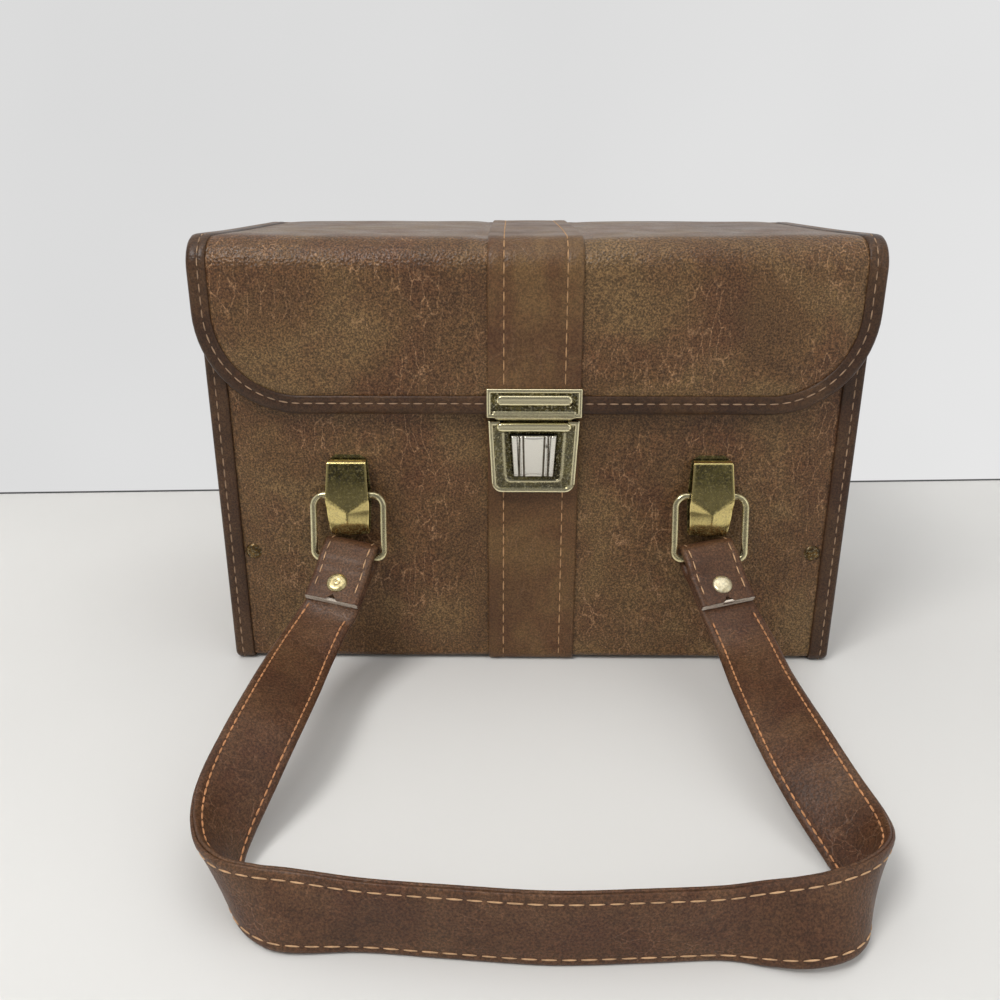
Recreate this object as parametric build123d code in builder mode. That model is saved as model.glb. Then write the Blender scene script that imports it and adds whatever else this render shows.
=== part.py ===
from build123d import *
import math
import os

# Hard-sided camera case with a hinged lid, a press lock and a shoulder strap.
# Millimetres. X runs to the right seen from the front, -Y is the front, +Z is up.
# The origin is on the surface the case stands on, under the middle of the case.

# Overall sizes
case_width = 250.0          # over the bindings of the two ends
case_depth = 122.0          # front panel face to back panel face
case_height = 171.0         # surface to the lid's top along the hinge
crest_rise = 2.0            # how much higher the lid is along its front edge
lid_width = 253.0
flap_bottom = 108.0         # height of the flap's lower edge
flap_corner_radius = 38.0
lid_front_radius = 12.0

# Board, covering and trim
board = 3.5
trim = 1.2                  # thickness of binding, centre strip and hinge vinyl
binding_width = 8.0
body_corner_radius = 4.0
lid_thickness = 4.4
lid_strip_thickness = 1.0
strip_width = 35.4
lid_strip_width = 35.0
hinge_strip_height = 21.0   # hinge vinyl, from the lid's top down the back
lining = 2.5
pad_thickness = 6.0
lid_pad_thickness = 2.5
lid_pad_inset = 11.0
lining_drop = 4.0           # lining's upper edge below the rim
divider_thickness = 6.0
divider_height = 112.0
divider_place = 30.0        # X of the divider's middle
divider_edge_radius = 2.0
hinge_edge_radius = 1.1

# Clearances between the bodies
rim_gap = 0.3               # lid over the body's rim, and flap in front of the trim
slip = 0.25                 # lock button in its window
hinge_offset = 1.5          # hinge line behind the back panel

# Lock
lock_top = 105.8
lock_bottom = 77.0
lock_top_width = 35.0
lock_bottom_width = 32.0
lock_corner_radius = 4.0
lock_depth = 4.2
lock_wall = 1.0
lock_rim = 1.1              # rolled edge round the cover
lock_rim_height = 0.5
notch_width = 26.0
notch_depth = 4.4
bar_length = 28.6
bar_width = 3.6
bar_height = 1.4
bar_edge = 0.8
bar_middle = 2.4            # bar's middle line below the lock's top
frame_width = 23.6
frame_bottom_width = 21.6
frame_top = 101.4
frame_bottom = 81.6
frame_height = 0.4
frame_line = 0.8
button_top = 100.2
button_bottom = 84.0
button_top_width = 17.2
button_bottom_width = 15.0
button_proud = 2.0
button_thickness = 2.4
button_edge = 0.4
flute_radius = 0.55
flute_places = (4.65, 6.3)  # from the button's middle to each flute
stem_width = 14.0
stem_top = 97.5
flange_margin = 1.0
flange_thickness = 0.6
tray_width = 26.0
tray_top = 104.6
tray_bottom = 82.2
tray_wall = 0.8
catch_plate = 1.0
catch_top = 102.4
catch_gap = 3.4             # catch plate in front of the tray's floor
nose_height = 1.6
spring_width = 4.0
spring_thickness = 0.3
spring_length = 12.0
lock_rivet_radius = 0.8
lock_rivet_head = 1.3
lock_rivet_dome = 0.8
lock_rivet_x = 13.95
lock_rivet_low = 1.8        # lower rivets above the tray's lower edge
lock_rivet_high = 2.6       # upper rivets below the tray's upper edge
backing_width = 34.0
backing_height = 30.0
backing_thickness = 0.8

# Hasp on the flap
hasp_width = 36.0
hasp_height = 11.2
hasp_drop = 0.5             # hasp's lower edge below the flap
hasp_thickness = 1.0
hasp_rim = 1.2
hasp_rim_height = 0.5
hasp_bar_length = 28.0
hasp_bar_width = 4.0
hasp_bar_height = 0.7
hasp_bar_edge = 0.4
hasp_bar_place = 6.5        # bar's middle above the hasp's lower edge
hasp_backing_margin = 2.0
tongue_width = 23.0
tongue_length = 6.6
tongue_thickness = 1.0
tongue_out = 0.35           # tongue's start in front of the inside of the cover
tongue_drop = 0.4           # tongue's start below the lock's top
hasp_rivet_radius = 1.2
hasp_rivet_x = 10.0
hasp_rivet_place = 5.6

# Strap clips and rings
clip_left = 72.5            # middle of each clip from the case's middle
clip_right = 69.5
clip_sheet = 0.9
clip_top = 90.8
clip_bottom = 60.8
clip_width = 17.0
clip_top_width = 15.0
clip_bottom_width = 15.2
clip_wide_height = 73.0
clip_corner_radius = 2.6
clip_foot = 4.6             # how far the flat foot stands out from the board
clip_bulge = 10.4
clip_bulge_height = 70.0
clip_neck = 5.4
clip_neck_drop = 2.2
clip_lip = 1.9
clip_lip_drop = 1.8
clip_bends = [1.8, 1.8, 3.5, 1.0]
clip_rivet_radius = 1.5
clip_rivet_head = 3.2
clip_rivet_height = 84.0
ring_wire = 1.45            # radius of the wire
wire_sides = 10
bend_chords = 4             # straight chords in each bend of the wire
ring_width = 27.5           # between the middles of the two side wires
ring_corner_radius = 4.5    # upper corners, middle of the wire
ring_low_corner_radius = 2.8
ring_bar_height = 75.5      # upper bar, on which the ring swings
ring_bar_out = 5.0
ring_low_height = 51.0      # lower bar, which carries the strap
ring_low_out = 10.0

# Rivets through the front board
shank_sides = 8             # shanks, their holes and hidden heads
head_sides = 18             # heads that show
front_rivet_inset = 12.0    # from the case's side to the rivet's middle
front_rivet_height = 49.5
front_rivet_head = 3.4
front_rivet_dome = 1.6
front_rivet_edge = 0.9
clip_rivet_dome = 0.8
front_rivet_radius = 1.5
washer_thickness = 0.7

# Strap
strap_width = 23.0
loop_width = 21.2           # strap's looped ends are a little narrower
ply = 1.6
loop_gap = 0.3              # strap loop round the ring's wire
loop_stretch = 2.5          # half the loop's straight length, for the skewed wire
loop_close = 9.0            # from the bar to where the two layers meet
tab_length = 21.0
strap_join = 22.0           # from the bar to where the free run starts
strap_lean = 53.7           # strap's ends from straight down, outward
strap_skew = 13.0           # strap's ends turned outward in their own plane
strap_rivet_place = 13.5
strap_rivet_head = 4.0
strap_rivet_radius = 1.9
strap_rivet_dome = 1.2
strap_rivet_edge = 0.7
tab_notch_width = 4.2       # V cut in the end of the upper layer
tab_notch_depth = 2.6

# Middle of the strap along its free run, with the direction of its upper edge.
# From the left ring to the right one, each as it lies on the surface.
strap_course = [
    ((-80.7, -93.5, 33.2), (-0.99, 0.10, 0.10)),
    ((-84.2, -110.0, 29.4), (-0.96, 0.05, 0.26)),
    ((-85.6, -129.0, 28.6), (-0.92, 0.05, 0.38)),
    ((-87.3, -147.3, 27.2), (-0.91, 0.06, 0.42)),
    ((-88.8, -156.2, 25.2), (-0.89, 0.04, 0.45)),
    ((-90.6, -164.7, 22.2), (-0.86, -0.02, 0.51)),
    ((-92.4, -172.7, 18.7), (-0.78, -0.11, 0.61)),
    ((-93.5, -181.0, 15.6), (-0.65, -0.21, 0.74)),
    ((-93.2, -189.6, 13.3), (-0.47, -0.28, 0.83)),
    ((-90.6, -199.0, 12.0), (-0.30, -0.20, 0.93)),
    ((-85.0, -207.0, 11.7), (-0.13, -0.08, 0.99)),
    ((-76.7, -212.3, 11.9), (0.01, 0.11, 0.99)),
    ((-67.3, -214.8, 12.0), (0.05, 0.22, 0.97)),
    ((-48.0, -216.0, 11.7), (0.00, 0.02, 1.00)),
    ((-24.0, -218.0, 11.6), (0.00, 0.00, 1.00)),
    ((2.0, -219.8, 11.6), (0.00, 0.00, 1.00)),
    ((27.0, -218.8, 11.6), (0.00, 0.00, 1.00)),
    ((47.0, -217.6, 11.6), (0.00, 0.02, 1.00)),
    ((58.0, -218.0, 12.1), (-0.05, 0.22, 0.97)),
    ((67.8, -218.3, 12.8), (-0.10, 0.38, 0.92)),
    ((77.5, -216.2, 13.3), (-0.14, 0.36, 0.92)),
    ((85.5, -210.7, 12.7), (-0.04, 0.23, 0.97)),
    ((90.7, -202.7, 11.8), (0.18, 0.06, 0.98)),
    ((92.9, -193.4, 11.5), (0.48, -0.03, 0.87)),
    ((92.1, -183.8, 12.3), (0.68, -0.01, 0.72)),
    ((89.4, -174.8, 14.8), (0.79, 0.04, 0.61)),
    ((86.5, -166.2, 18.0), (0.84, 0.07, 0.54)),
    ((84.2, -157.1, 20.8), (0.88, 0.07, 0.46)),
    ((81.6, -138.4, 23.9), (0.97, 0.07, 0.23)),
    ((79.9, -119.7, 26.3), (0.99, 0.06, 0.16)),
    ((78.6, -103.0, 29.6), (0.97, 0.06, 0.20)),
]

# Places worked out from the sizes
front = -case_depth / 2
back = case_depth / 2
trim_front = front - trim
flap_inner = trim_front - rim_gap
flap_front = flap_inner - lid_thickness
strip_face = flap_front - lid_strip_thickness
side_face = case_width / 2 - trim
inner_side = side_face - board
crest = case_height + crest_rise
lid_slope = crest_rise / (back - flap_front)
rim_back = case_height - lid_thickness - rim_gap
rim_corner_radius = lid_front_radius - lid_thickness - rim_gap
floor_top = trim + board
hinge_bottom = case_height - hinge_strip_height
hinge_y = back + hinge_offset
hinge_z = rim_back + rim_gap / 2
front_inside = front + board
back_inside = back - board
front_rivet_x = case_width / 2 - front_rivet_inset


def save(node, name):
    node.part.label = name
    export_step(node.part, f"parts/{name}.step")


def tapered_outline(bottom, top, bottom_width, top_width, corner, margin):
    """Upright trapezium on an XZ plane, its lower corners rounded if corner is above nought."""
    with BuildSketch() as outline:
        with BuildLine():
            Polyline(
                (-bottom_width / 2 - margin, bottom - margin),
                (bottom_width / 2 + margin, bottom - margin),
                (top_width / 2 + margin, top + margin),
                (-top_width / 2 - margin, top + margin),
                close=True,
            )
        make_face()
        if corner > 0:
            fillet(outline.vertices().group_by(Axis.Y)[0], corner)
    return outline.sketch


def front_plane(y):
    """Upright plane at depth y whose sketches extrude towards the front."""
    return Plane((0, y, 0), x_dir=(1, 0, 0), z_dir=(0, -1, 0))


os.makedirs("parts", exist_ok=True)

# Body: the boards


def rim_at(y):
    """Height of the rim, which slopes with the lid."""
    return rim_back + lid_slope * (back - y)


def side_profile(grow, corner):
    """Side view of the wrapped boards, grown on every outer side."""
    with BuildSketch(Plane.YZ) as profile:
        with Locations((0, trim - grow)):
            Rectangle(case_depth + 2 * grow, case_height, align=(Align.CENTER, Align.MIN))
        fillet(profile.vertices().group_by(Axis.Y)[0], corner)
    return profile.sketch


def under_rim():
    """Everything below the sloping rim, as seen from the side."""
    with BuildSketch(Plane.YZ) as profile:
        with BuildLine():
            Polyline(
                (back + trim, 0),
                (trim_front, 0),
                (trim_front, rim_at(trim_front)),
                (back + trim, rim_at(back + trim)),
                close=True,
            )
        make_face()
        fillet(profile.vertices().group_by(Axis.Y)[-1], rim_corner_radius)
    return profile.sketch


lock_rivet_heights = (tray_bottom + lock_rivet_low, tray_top - lock_rivet_high)
lock_rivet_spots = [(x, z) for x in (-lock_rivet_x, lock_rivet_x) for z in lock_rivet_heights]
clip_spots = [(-clip_left, clip_rivet_height), (clip_right, clip_rivet_height)]
front_rivet_spots = [(-front_rivet_x, front_rivet_height), (front_rivet_x, front_rivet_height)]
tray_height = tray_top - tray_bottom
tray_middle = (tray_top + tray_bottom) / 2

with BuildPart() as wrap:
    extrude(side_profile(0, body_corner_radius - trim), amount=side_face, both=True)
    extrude(under_rim(), amount=side_face, both=True, mode=Mode.INTERSECT)

with BuildPart() as front_panel:
    add(wrap.part)
    with Locations((0, front + board / 2, 0)):
        Box(case_width, board, 2 * case_height, mode=Mode.INTERSECT)
    with BuildSketch(front_plane(front_inside)):
        with Locations((0, tray_middle)):
            Rectangle(tray_width + 2 * slip, tray_height + 2 * slip)
        with Locations(*lock_rivet_spots):
            RegularPolygon(lock_rivet_radius, shank_sides)
        with Locations(*clip_spots):
            RegularPolygon(clip_rivet_radius, shank_sides)
        with Locations(*front_rivet_spots):
            RegularPolygon(front_rivet_radius, shank_sides)
    extrude(amount=board, mode=Mode.SUBTRACT)
save(front_panel, "front_panel")

with BuildPart() as back_panel:
    add(wrap.part)
    with Locations((0, back - board / 2, 0)):
        Box(case_width, board, 2 * case_height, mode=Mode.INTERSECT)
save(back_panel, "back_panel")

with BuildPart() as bottom_panel:
    with Locations((0, 0, trim)):
        Box(2 * side_face, case_depth - 2 * board, board, align=(Align.CENTER, Align.CENTER, Align.MIN))
save(bottom_panel, "bottom_panel")

with BuildPart() as end_board:
    with BuildSketch(Plane.YZ.offset(inner_side)):
        with BuildLine():
            Polyline(
                (front_inside, floor_top),
                (back_inside, floor_top),
                (back_inside, case_height),
                (front_inside, case_height),
                close=True,
            )
        make_face()
    extrude(amount=board)
    extrude(under_rim(), amount=side_face, mode=Mode.INTERSECT)

with BuildPart() as end_panel_right:
    add(end_board.part)
save(end_panel_right, "end_panel_right")

with BuildPart() as end_panel_left:
    add(mirror(end_board.part, about=Plane.YZ, mode=Mode.PRIVATE))
save(end_panel_left, "end_panel_left")

# Body: the binding that closes each end, and the centre strip

with BuildPart() as binding_band:
    extrude(side_profile(trim, body_corner_radius), amount=case_width / 2)
    extrude(under_rim(), amount=case_width / 2, mode=Mode.INTERSECT)
    add(wrap.part, mode=Mode.SUBTRACT)
    with BuildSketch(Plane.YZ) as clear_of_binding:
        with Locations((0, trim + binding_width)):
            Rectangle(case_depth - 2 * binding_width, case_height, align=(Align.CENTER, Align.MIN))
    extrude(amount=case_width / 2, mode=Mode.SUBTRACT)
    with Locations((0, back, hinge_bottom)):
        Box(2 * case_width, 2 * board, case_height, align=(Align.CENTER, Align.MIN, Align.MIN),
            mode=Mode.SUBTRACT)
    Box(2 * (case_width / 2 - binding_width), 2 * case_depth, 2 * case_height, mode=Mode.SUBTRACT)

with BuildPart() as body_binding_right:
    add(binding_band.part)
save(body_binding_right, "body_binding_right")

with BuildPart() as body_binding_left:
    add(mirror(binding_band.part, about=Plane.YZ, mode=Mode.PRIVATE))
save(body_binding_left, "body_binding_left")

with BuildPart() as body_strip:
    extrude(side_profile(trim, body_corner_radius), amount=strip_width / 2, both=True)
    extrude(under_rim(), amount=strip_width / 2, both=True, mode=Mode.INTERSECT)
    add(wrap.part, mode=Mode.SUBTRACT)
    with Locations((0, back, hinge_bottom)):
        Box(case_width, 2 * board, case_height, align=(Align.CENTER, Align.MIN, Align.MIN),
            mode=Mode.SUBTRACT)
    with BuildSketch(front_plane(front)):
        with Locations((0, tray_middle)):
            Rectangle(tray_width + 2 * slip, tray_height + 2 * slip)
        with Locations(*lock_rivet_spots):
            RegularPolygon(lock_rivet_radius, shank_sides)
    extrude(amount=trim, mode=Mode.SUBTRACT)
save(body_strip, "body_strip")

with BuildPart() as hinge_strip:
    with Locations((0, back, hinge_bottom)):
        Box(case_width, trim, hinge_strip_height, align=(Align.CENTER, Align.MIN, Align.MIN))
    fillet(hinge_strip.edges().filter_by(Axis.X).group_by(Axis.Z)[-1].sort_by(Axis.Y)[-1], hinge_edge_radius)
save(hinge_strip, "hinge_strip")

# Inside: padded lining, floor pad and one divider

lining_top = rim_back - lining_drop
lining_height = lining_top - floor_top - pad_thickness
washer_recess = washer_thickness + slip

with BuildPart() as front_lining:
    with Locations((0, front_inside, floor_top + pad_thickness)):
        Box(2 * inner_side, lining, lining_height, align=(Align.CENTER, Align.MIN, Align.MIN))
    with BuildSketch(front_plane(front_inside + washer_recess)):
        with Locations((0, tray_middle)):
            Rectangle(backing_width + 2 * slip, backing_height + 2 * slip)
        with Locations(*clip_spots, *front_rivet_spots):
            RegularPolygon(clip_rivet_head + slip, shank_sides)
    extrude(amount=washer_recess, mode=Mode.SUBTRACT)
save(front_lining, "front_lining")

with BuildPart() as back_lining:
    with Locations((0, back_inside - lining, floor_top + pad_thickness)):
        Box(2 * inner_side, lining, lining_height, align=(Align.CENTER, Align.MIN, Align.MIN))
save(back_lining, "back_lining")

lined_depth = case_depth - 2 * board - 2 * lining

for side, sign in (("left", -1), ("right", 1)):
    with BuildPart() as end_lining:
        with Locations((sign * (inner_side - lining / 2), 0, floor_top + pad_thickness)):
            Box(lining, lined_depth, lining_height, align=(Align.CENTER, Align.CENTER, Align.MIN))
    save(end_lining, f"end_lining_{side}")

with BuildPart() as bottom_pad:
    with Locations((0, 0, floor_top)):
        Box(2 * inner_side, case_depth - 2 * board, pad_thickness,
            align=(Align.CENTER, Align.CENTER, Align.MIN))
save(bottom_pad, "bottom_pad")

with BuildPart() as divider:
    with Locations((divider_place, 0, floor_top + pad_thickness)):
        Box(divider_thickness, lined_depth, divider_height, align=(Align.CENTER, Align.CENTER, Align.MIN))
    fillet(divider.edges().filter_by(Axis.Y).group_by(Axis.Z)[-1], divider_edge_radius)
save(divider, "divider")

# Lid: one formed sheet, with a channel of binding folded round its edge


def formed_sheet(depth, thickness, half_width):
    """A layer over the lid's top and down the flap, from depth below the lid's outer face."""
    down = depth * math.hypot(1, lid_slope)
    corner = (flap_front + depth, crest - lid_slope * depth - down)
    with BuildPart() as sheet:
        with BuildSketch(Plane.YZ):
            with BuildLine():
                FilletPolyline((back, case_height - down), corner, (flap_front + depth, flap_bottom),
                               radius=lid_front_radius - depth)
                offset(amount=thickness, side=Side.LEFT)
            make_face()
        extrude(amount=half_width, both=True)
    return sheet.part


def lid_sheet(depth, thickness, inset):
    """A layer of the lid, drawn in from the edge by inset."""
    half = lid_width / 2 - inset
    with BuildPart() as sheet:
        add(formed_sheet(depth, thickness, half))
        with BuildSketch(Plane.XZ) as outline:
            with Locations((0, flap_bottom + inset)):
                Rectangle(2 * half, case_height, align=(Align.CENTER, Align.MIN))
            fillet(outline.vertices().group_by(Axis.Y)[0], flap_corner_radius - inset)
        extrude(amount=case_depth, both=True, mode=Mode.INTERSECT)
    return sheet.part


hasp_bottom = flap_bottom - hasp_drop
hasp_rivet_height = hasp_bottom + hasp_rivet_place
hasp_rivet_spots = [(-hasp_rivet_x, hasp_rivet_height), (hasp_rivet_x, hasp_rivet_height)]
hasp_backing_height = hasp_height - hasp_backing_margin
hasp_backing_width = hasp_width - 2 * hasp_backing_margin
core = lid_thickness - 2 * trim


with BuildPart() as hasp_cut:
    with BuildSketch(front_plane(flap_inner)):
        with Locations((0, flap_bottom + hasp_backing_height / 2)):
            Rectangle(hasp_backing_width, hasp_backing_height)
    extrude(amount=backing_thickness)
    with BuildSketch(front_plane(flap_inner)):
        with Locations(*hasp_rivet_spots):
            RegularPolygon(hasp_rivet_radius, shank_sides)
    extrude(amount=2 * lid_thickness)

with BuildPart() as lid_board:
    add(lid_sheet(trim, core, trim))
    add(lid_sheet(0, lid_thickness, binding_width))

with BuildPart() as lid_panel:
    add(lid_board.part)
    add(hasp_cut.part, mode=Mode.SUBTRACT)
save(lid_panel, "lid_panel")

with BuildPart() as lid_binding:
    add(lid_sheet(0, lid_thickness, 0))
    add(lid_board.part, mode=Mode.SUBTRACT)
    add(hasp_cut.part, mode=Mode.SUBTRACT)
save(lid_binding, "lid_binding")

with BuildPart() as lid_strip:
    add(formed_sheet(-lid_strip_thickness, lid_strip_thickness, lid_strip_width / 2))
    add(hasp_cut.part, mode=Mode.SUBTRACT)
save(lid_strip, "lid_strip")

with BuildPart() as lid_pad:
    add(formed_sheet(lid_thickness, lid_pad_thickness, inner_side - lid_pad_inset))
    with Locations((0, 0, case_height)):
        Box(case_width, case_depth - 2 * lid_pad_inset, case_height, mode=Mode.INTERSECT)
save(lid_pad, "lid_pad")

# Lock on the body: cover, tray let into the front board, button, catch and spring

cover_front = trim_front - lock_depth
wall_inside = cover_front + lock_wall
tray_flange = trim_front - tray_wall
tray_floor = front_inside - tray_wall
catch_back = tray_floor - catch_gap + catch_plate
button_front = cover_front - button_proud
button_back = button_front + button_thickness
bar_place = lock_top - bar_middle


def cover_outline(margin):
    return tapered_outline(lock_bottom, lock_top, lock_bottom_width, lock_top_width,
                           lock_corner_radius + margin, margin)


def frame_outline(margin):
    return tapered_outline(frame_bottom, frame_top, frame_bottom_width, frame_width, 0, margin)


def button_outline(margin):
    return tapered_outline(button_bottom, button_top, button_bottom_width, button_top_width, 0, margin)


with BuildPart() as lock_cover:
    with BuildSketch(front_plane(trim_front)):
        add(cover_outline(0))
    extrude(amount=lock_depth)
    with BuildSketch(front_plane(cover_front)):
        add(cover_outline(0))
        add(cover_outline(-lock_rim), mode=Mode.SUBTRACT)
    extrude(amount=lock_rim_height)
    with BuildSketch(front_plane(cover_front)):
        add(frame_outline(0))
        add(frame_outline(-frame_line), mode=Mode.SUBTRACT)
    extrude(amount=frame_height)
    with BuildSketch(front_plane(trim_front)):
        add(cover_outline(-lock_wall))
    extrude(amount=lock_depth - lock_wall, mode=Mode.SUBTRACT)
    with BuildSketch(front_plane(trim_front)):
        with Locations((0, lock_top)):
            Rectangle(notch_width, 2 * notch_depth)
    extrude(amount=2 * lock_depth, mode=Mode.SUBTRACT)
    with BuildSketch(front_plane(trim_front)):
        add(button_outline(slip))
    extrude(amount=2 * lock_depth, mode=Mode.SUBTRACT)
    with BuildSketch(front_plane(cover_front + frame_height)):
        with Locations((0, bar_place)):
            SlotOverall(bar_length, bar_width)
    extrude(amount=frame_height + bar_height)
    chamfer(lock_cover.faces().sort_by(Axis.Y)[0].edges(), bar_edge)
save(lock_cover, "lock_cover")

with BuildPart() as lock_base:
    with BuildSketch(front_plane(trim_front)):
        with Locations((0, tray_middle)):
            Rectangle(2 * (lock_rivet_x + lock_rivet_radius + slip), tray_height)
    extrude(amount=tray_wall)
    with BuildSketch(front_plane(tray_floor + tray_wall)):
        with Locations((0, tray_middle)):
            Rectangle(tray_width, tray_height)
    extrude(amount=tray_floor + tray_wall - tray_flange)
    with BuildSketch(front_plane(tray_floor)):
        with Locations((0, tray_middle)):
            Rectangle(tray_width - 2 * tray_wall, tray_height - 2 * tray_wall)
    extrude(amount=tray_floor - tray_flange, mode=Mode.SUBTRACT)
    with BuildSketch(front_plane(trim_front)):
        with Locations(*lock_rivet_spots):
            RegularPolygon(lock_rivet_radius, shank_sides)
    extrude(amount=tray_wall, mode=Mode.SUBTRACT)
save(lock_base, "lock_base")

with BuildPart() as lock_backing:
    with BuildSketch(front_plane(front_inside + backing_thickness)):
        with Locations((0, tray_middle)):
            Rectangle(backing_width, backing_height)
        with Locations(*lock_rivet_spots):
            RegularPolygon(lock_rivet_radius, shank_sides, mode=Mode.SUBTRACT)
    extrude(amount=backing_thickness)
save(lock_backing, "lock_backing")

with BuildPart() as lock_rivets:
    with BuildSketch(front_plane(front_inside + backing_thickness)):
        with Locations(*lock_rivet_spots):
            RegularPolygon(lock_rivet_radius, shank_sides)
    extrude(amount=front_inside + backing_thickness - tray_flange)
    with BuildSketch(front_plane(tray_flange)):
        with Locations(*lock_rivet_spots):
            RegularPolygon(lock_rivet_head, shank_sides)
    extrude(amount=lock_rivet_dome)
save(lock_rivets, "lock_rivets")

flute_spots = [sign * place for sign in (-1, 1) for place in flute_places]

with BuildPart() as lock_button:
    with BuildSketch(front_plane(button_back)):
        add(button_outline(0))
    extrude(amount=button_thickness)
    chamfer(lock_button.faces().sort_by(Axis.Y)[0].edges(), button_edge)
    for spot in flute_spots:
        with Locations((spot, button_front, (button_top + button_bottom) / 2)):
            Cylinder(flute_radius, 2 * (button_top - button_bottom), mode=Mode.SUBTRACT)
    stem_height = stem_top - button_bottom - slip
    with BuildSketch(front_plane(catch_back - catch_plate)):
        with Locations((0, stem_top - stem_height / 2)):
            Rectangle(stem_width, stem_height)
    extrude(amount=catch_back - catch_plate - button_back)
    with BuildSketch(front_plane(wall_inside + slip + flange_thickness)):
        with Locations((0, stem_top - stem_height / 2)):
            Rectangle(button_top_width + 2 * flange_margin, stem_height)
    extrude(amount=flange_thickness)
save(lock_button, "lock_button")

# The opening lid carries the tongue along a circle round the hinge line, so the tongue slopes
# the way that circle runs at the lock.
tongue_reach = math.hypot(hinge_y - cover_front, hinge_z - lock_top)
tongue_in = (hinge_z - lock_top) / tongue_reach
tongue_down = (hinge_y - cover_front) / tongue_reach
tongue_start = (wall_inside - tongue_out, lock_top - tongue_drop)
tongue_tip = (tongue_start[0] + tongue_in * tongue_length, tongue_start[1] - tongue_down * tongue_length)
tongue_shift = (tongue_down * tongue_thickness, tongue_in * tongue_thickness)
catch_front = catch_back - catch_plate
nose_bottom = catch_top - nose_height
tongue_at_nose = tongue_start[0] + (tongue_start[1] - nose_bottom) * tongue_in / tongue_down
nose_tip = tongue_at_nose + tongue_thickness / tongue_down + rim_gap

with BuildPart() as lock_catch:
    with BuildSketch(front_plane(catch_back)):
        with Locations((0, (catch_top + button_bottom) / 2)):
            Rectangle(stem_width, catch_top - button_bottom)
    extrude(amount=catch_plate)
    with BuildSketch(front_plane(catch_front)):
        with Locations((0, nose_bottom + nose_height / 2)):
            Rectangle(stem_width / 2, nose_height)
    extrude(amount=catch_front - nose_tip)
save(lock_catch, "lock_catch")

with BuildPart() as lock_spring:
    with BuildSketch(Plane.YZ) as leaf:
        with BuildLine():
            spring_middle = button_bottom + spring_length
            ThreePointArc(
                (tray_floor, spring_middle - spring_length / 2),
                (catch_back + spring_thickness, spring_middle),
                (tray_floor, spring_middle + spring_length / 2),
            )
            offset(amount=spring_thickness, side=Side.LEFT)
        make_face()
    extrude(amount=spring_width / 2, both=True)
    split(bisect_by=front_plane(tray_floor), keep=Keep.TOP)
save(lock_spring, "lock_spring")

# Hasp on the flap

hasp_back = strip_face
hasp_face = strip_face - hasp_thickness
hasp_middle = hasp_bottom + hasp_height / 2

with BuildPart() as hasp_plate:
    with BuildSketch(front_plane(hasp_back)):
        with Locations((0, hasp_middle)):
            Rectangle(hasp_width, hasp_height)
    extrude(amount=hasp_thickness)
    with BuildSketch(front_plane(hasp_face)):
        with Locations((0, hasp_middle)):
            Rectangle(hasp_width, hasp_height)
        with Locations((0, hasp_middle)):
            Rectangle(hasp_width - 2 * hasp_rim, hasp_height - 2 * hasp_rim, mode=Mode.SUBTRACT)
    extrude(amount=hasp_rim_height)
    with BuildSketch(front_plane(hasp_face)):
        with Locations((0, hasp_bottom + hasp_bar_place)):
            SlotOverall(hasp_bar_length, hasp_bar_width)
    extrude(amount=hasp_bar_height)
    chamfer(hasp_plate.faces().sort_by(Axis.Y)[0].edges(), hasp_bar_edge)
    with BuildSketch(Plane.YZ):
        with BuildLine():
            Polyline(
                (hasp_face, hasp_bottom + hasp_rim),
                (hasp_face, hasp_bottom),
                tongue_start,
                tongue_tip,
                (tongue_tip[0] + tongue_shift[0], tongue_tip[1] + tongue_shift[1]),
                (tongue_start[0] + tongue_shift[0], tongue_start[1] + tongue_shift[1]),
                (hasp_back, hasp_bottom),
                (hasp_back, hasp_bottom + hasp_rim),
                close=True,
            )
        make_face()
    extrude(amount=tongue_width / 2, both=True)
    with BuildSketch(front_plane(hasp_back)):
        with Locations(*hasp_rivet_spots):
            RegularPolygon(hasp_rivet_radius, shank_sides)
    extrude(amount=hasp_thickness / 2, mode=Mode.SUBTRACT)
save(hasp_plate, "hasp_plate")

with BuildPart() as hasp_backing:
    with BuildSketch(front_plane(flap_inner)):
        with Locations((0, flap_bottom + hasp_backing_height / 2)):
            Rectangle(hasp_backing_width, hasp_backing_height)
        with Locations(*hasp_rivet_spots):
            RegularPolygon(hasp_rivet_radius, shank_sides, mode=Mode.SUBTRACT)
    extrude(amount=backing_thickness)
save(hasp_backing, "hasp_backing")

with BuildPart() as hasp_rivets:
    with BuildSketch(front_plane(flap_inner)):
        with Locations(*hasp_rivet_spots):
            RegularPolygon(hasp_rivet_radius, shank_sides)
    extrude(amount=flap_inner - hasp_back + hasp_thickness / 2)
save(hasp_rivets, "hasp_rivets")

# Strap clips: one bent strip of brass each, open at the top behind the front leg


def clip_outline():
    with BuildSketch(Plane.XZ) as outline:
        with BuildLine():
            Polyline(
                (-clip_bottom_width / 2, clip_bottom - clip_sheet),
                (clip_bottom_width / 2, clip_bottom - clip_sheet),
                (clip_width / 2, clip_wide_height),
                (clip_top_width / 2, clip_top),
                (-clip_top_width / 2, clip_top),
                (-clip_width / 2, clip_wide_height),
                close=True,
            )
        make_face()
        fillet(outline.vertices().group_by(Axis.Y)[-1], clip_corner_radius)
    return outline.sketch


half_sheet = clip_sheet / 2
clip_course = [
    (front - half_sheet, clip_top),
    (front - half_sheet, clip_bottom),
    (front - clip_foot, clip_bottom),
    (front - clip_bulge, clip_bulge_height),
    (front - clip_neck, clip_top - clip_neck_drop),
    (front - clip_lip, clip_top - clip_lip_drop),
]

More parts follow.
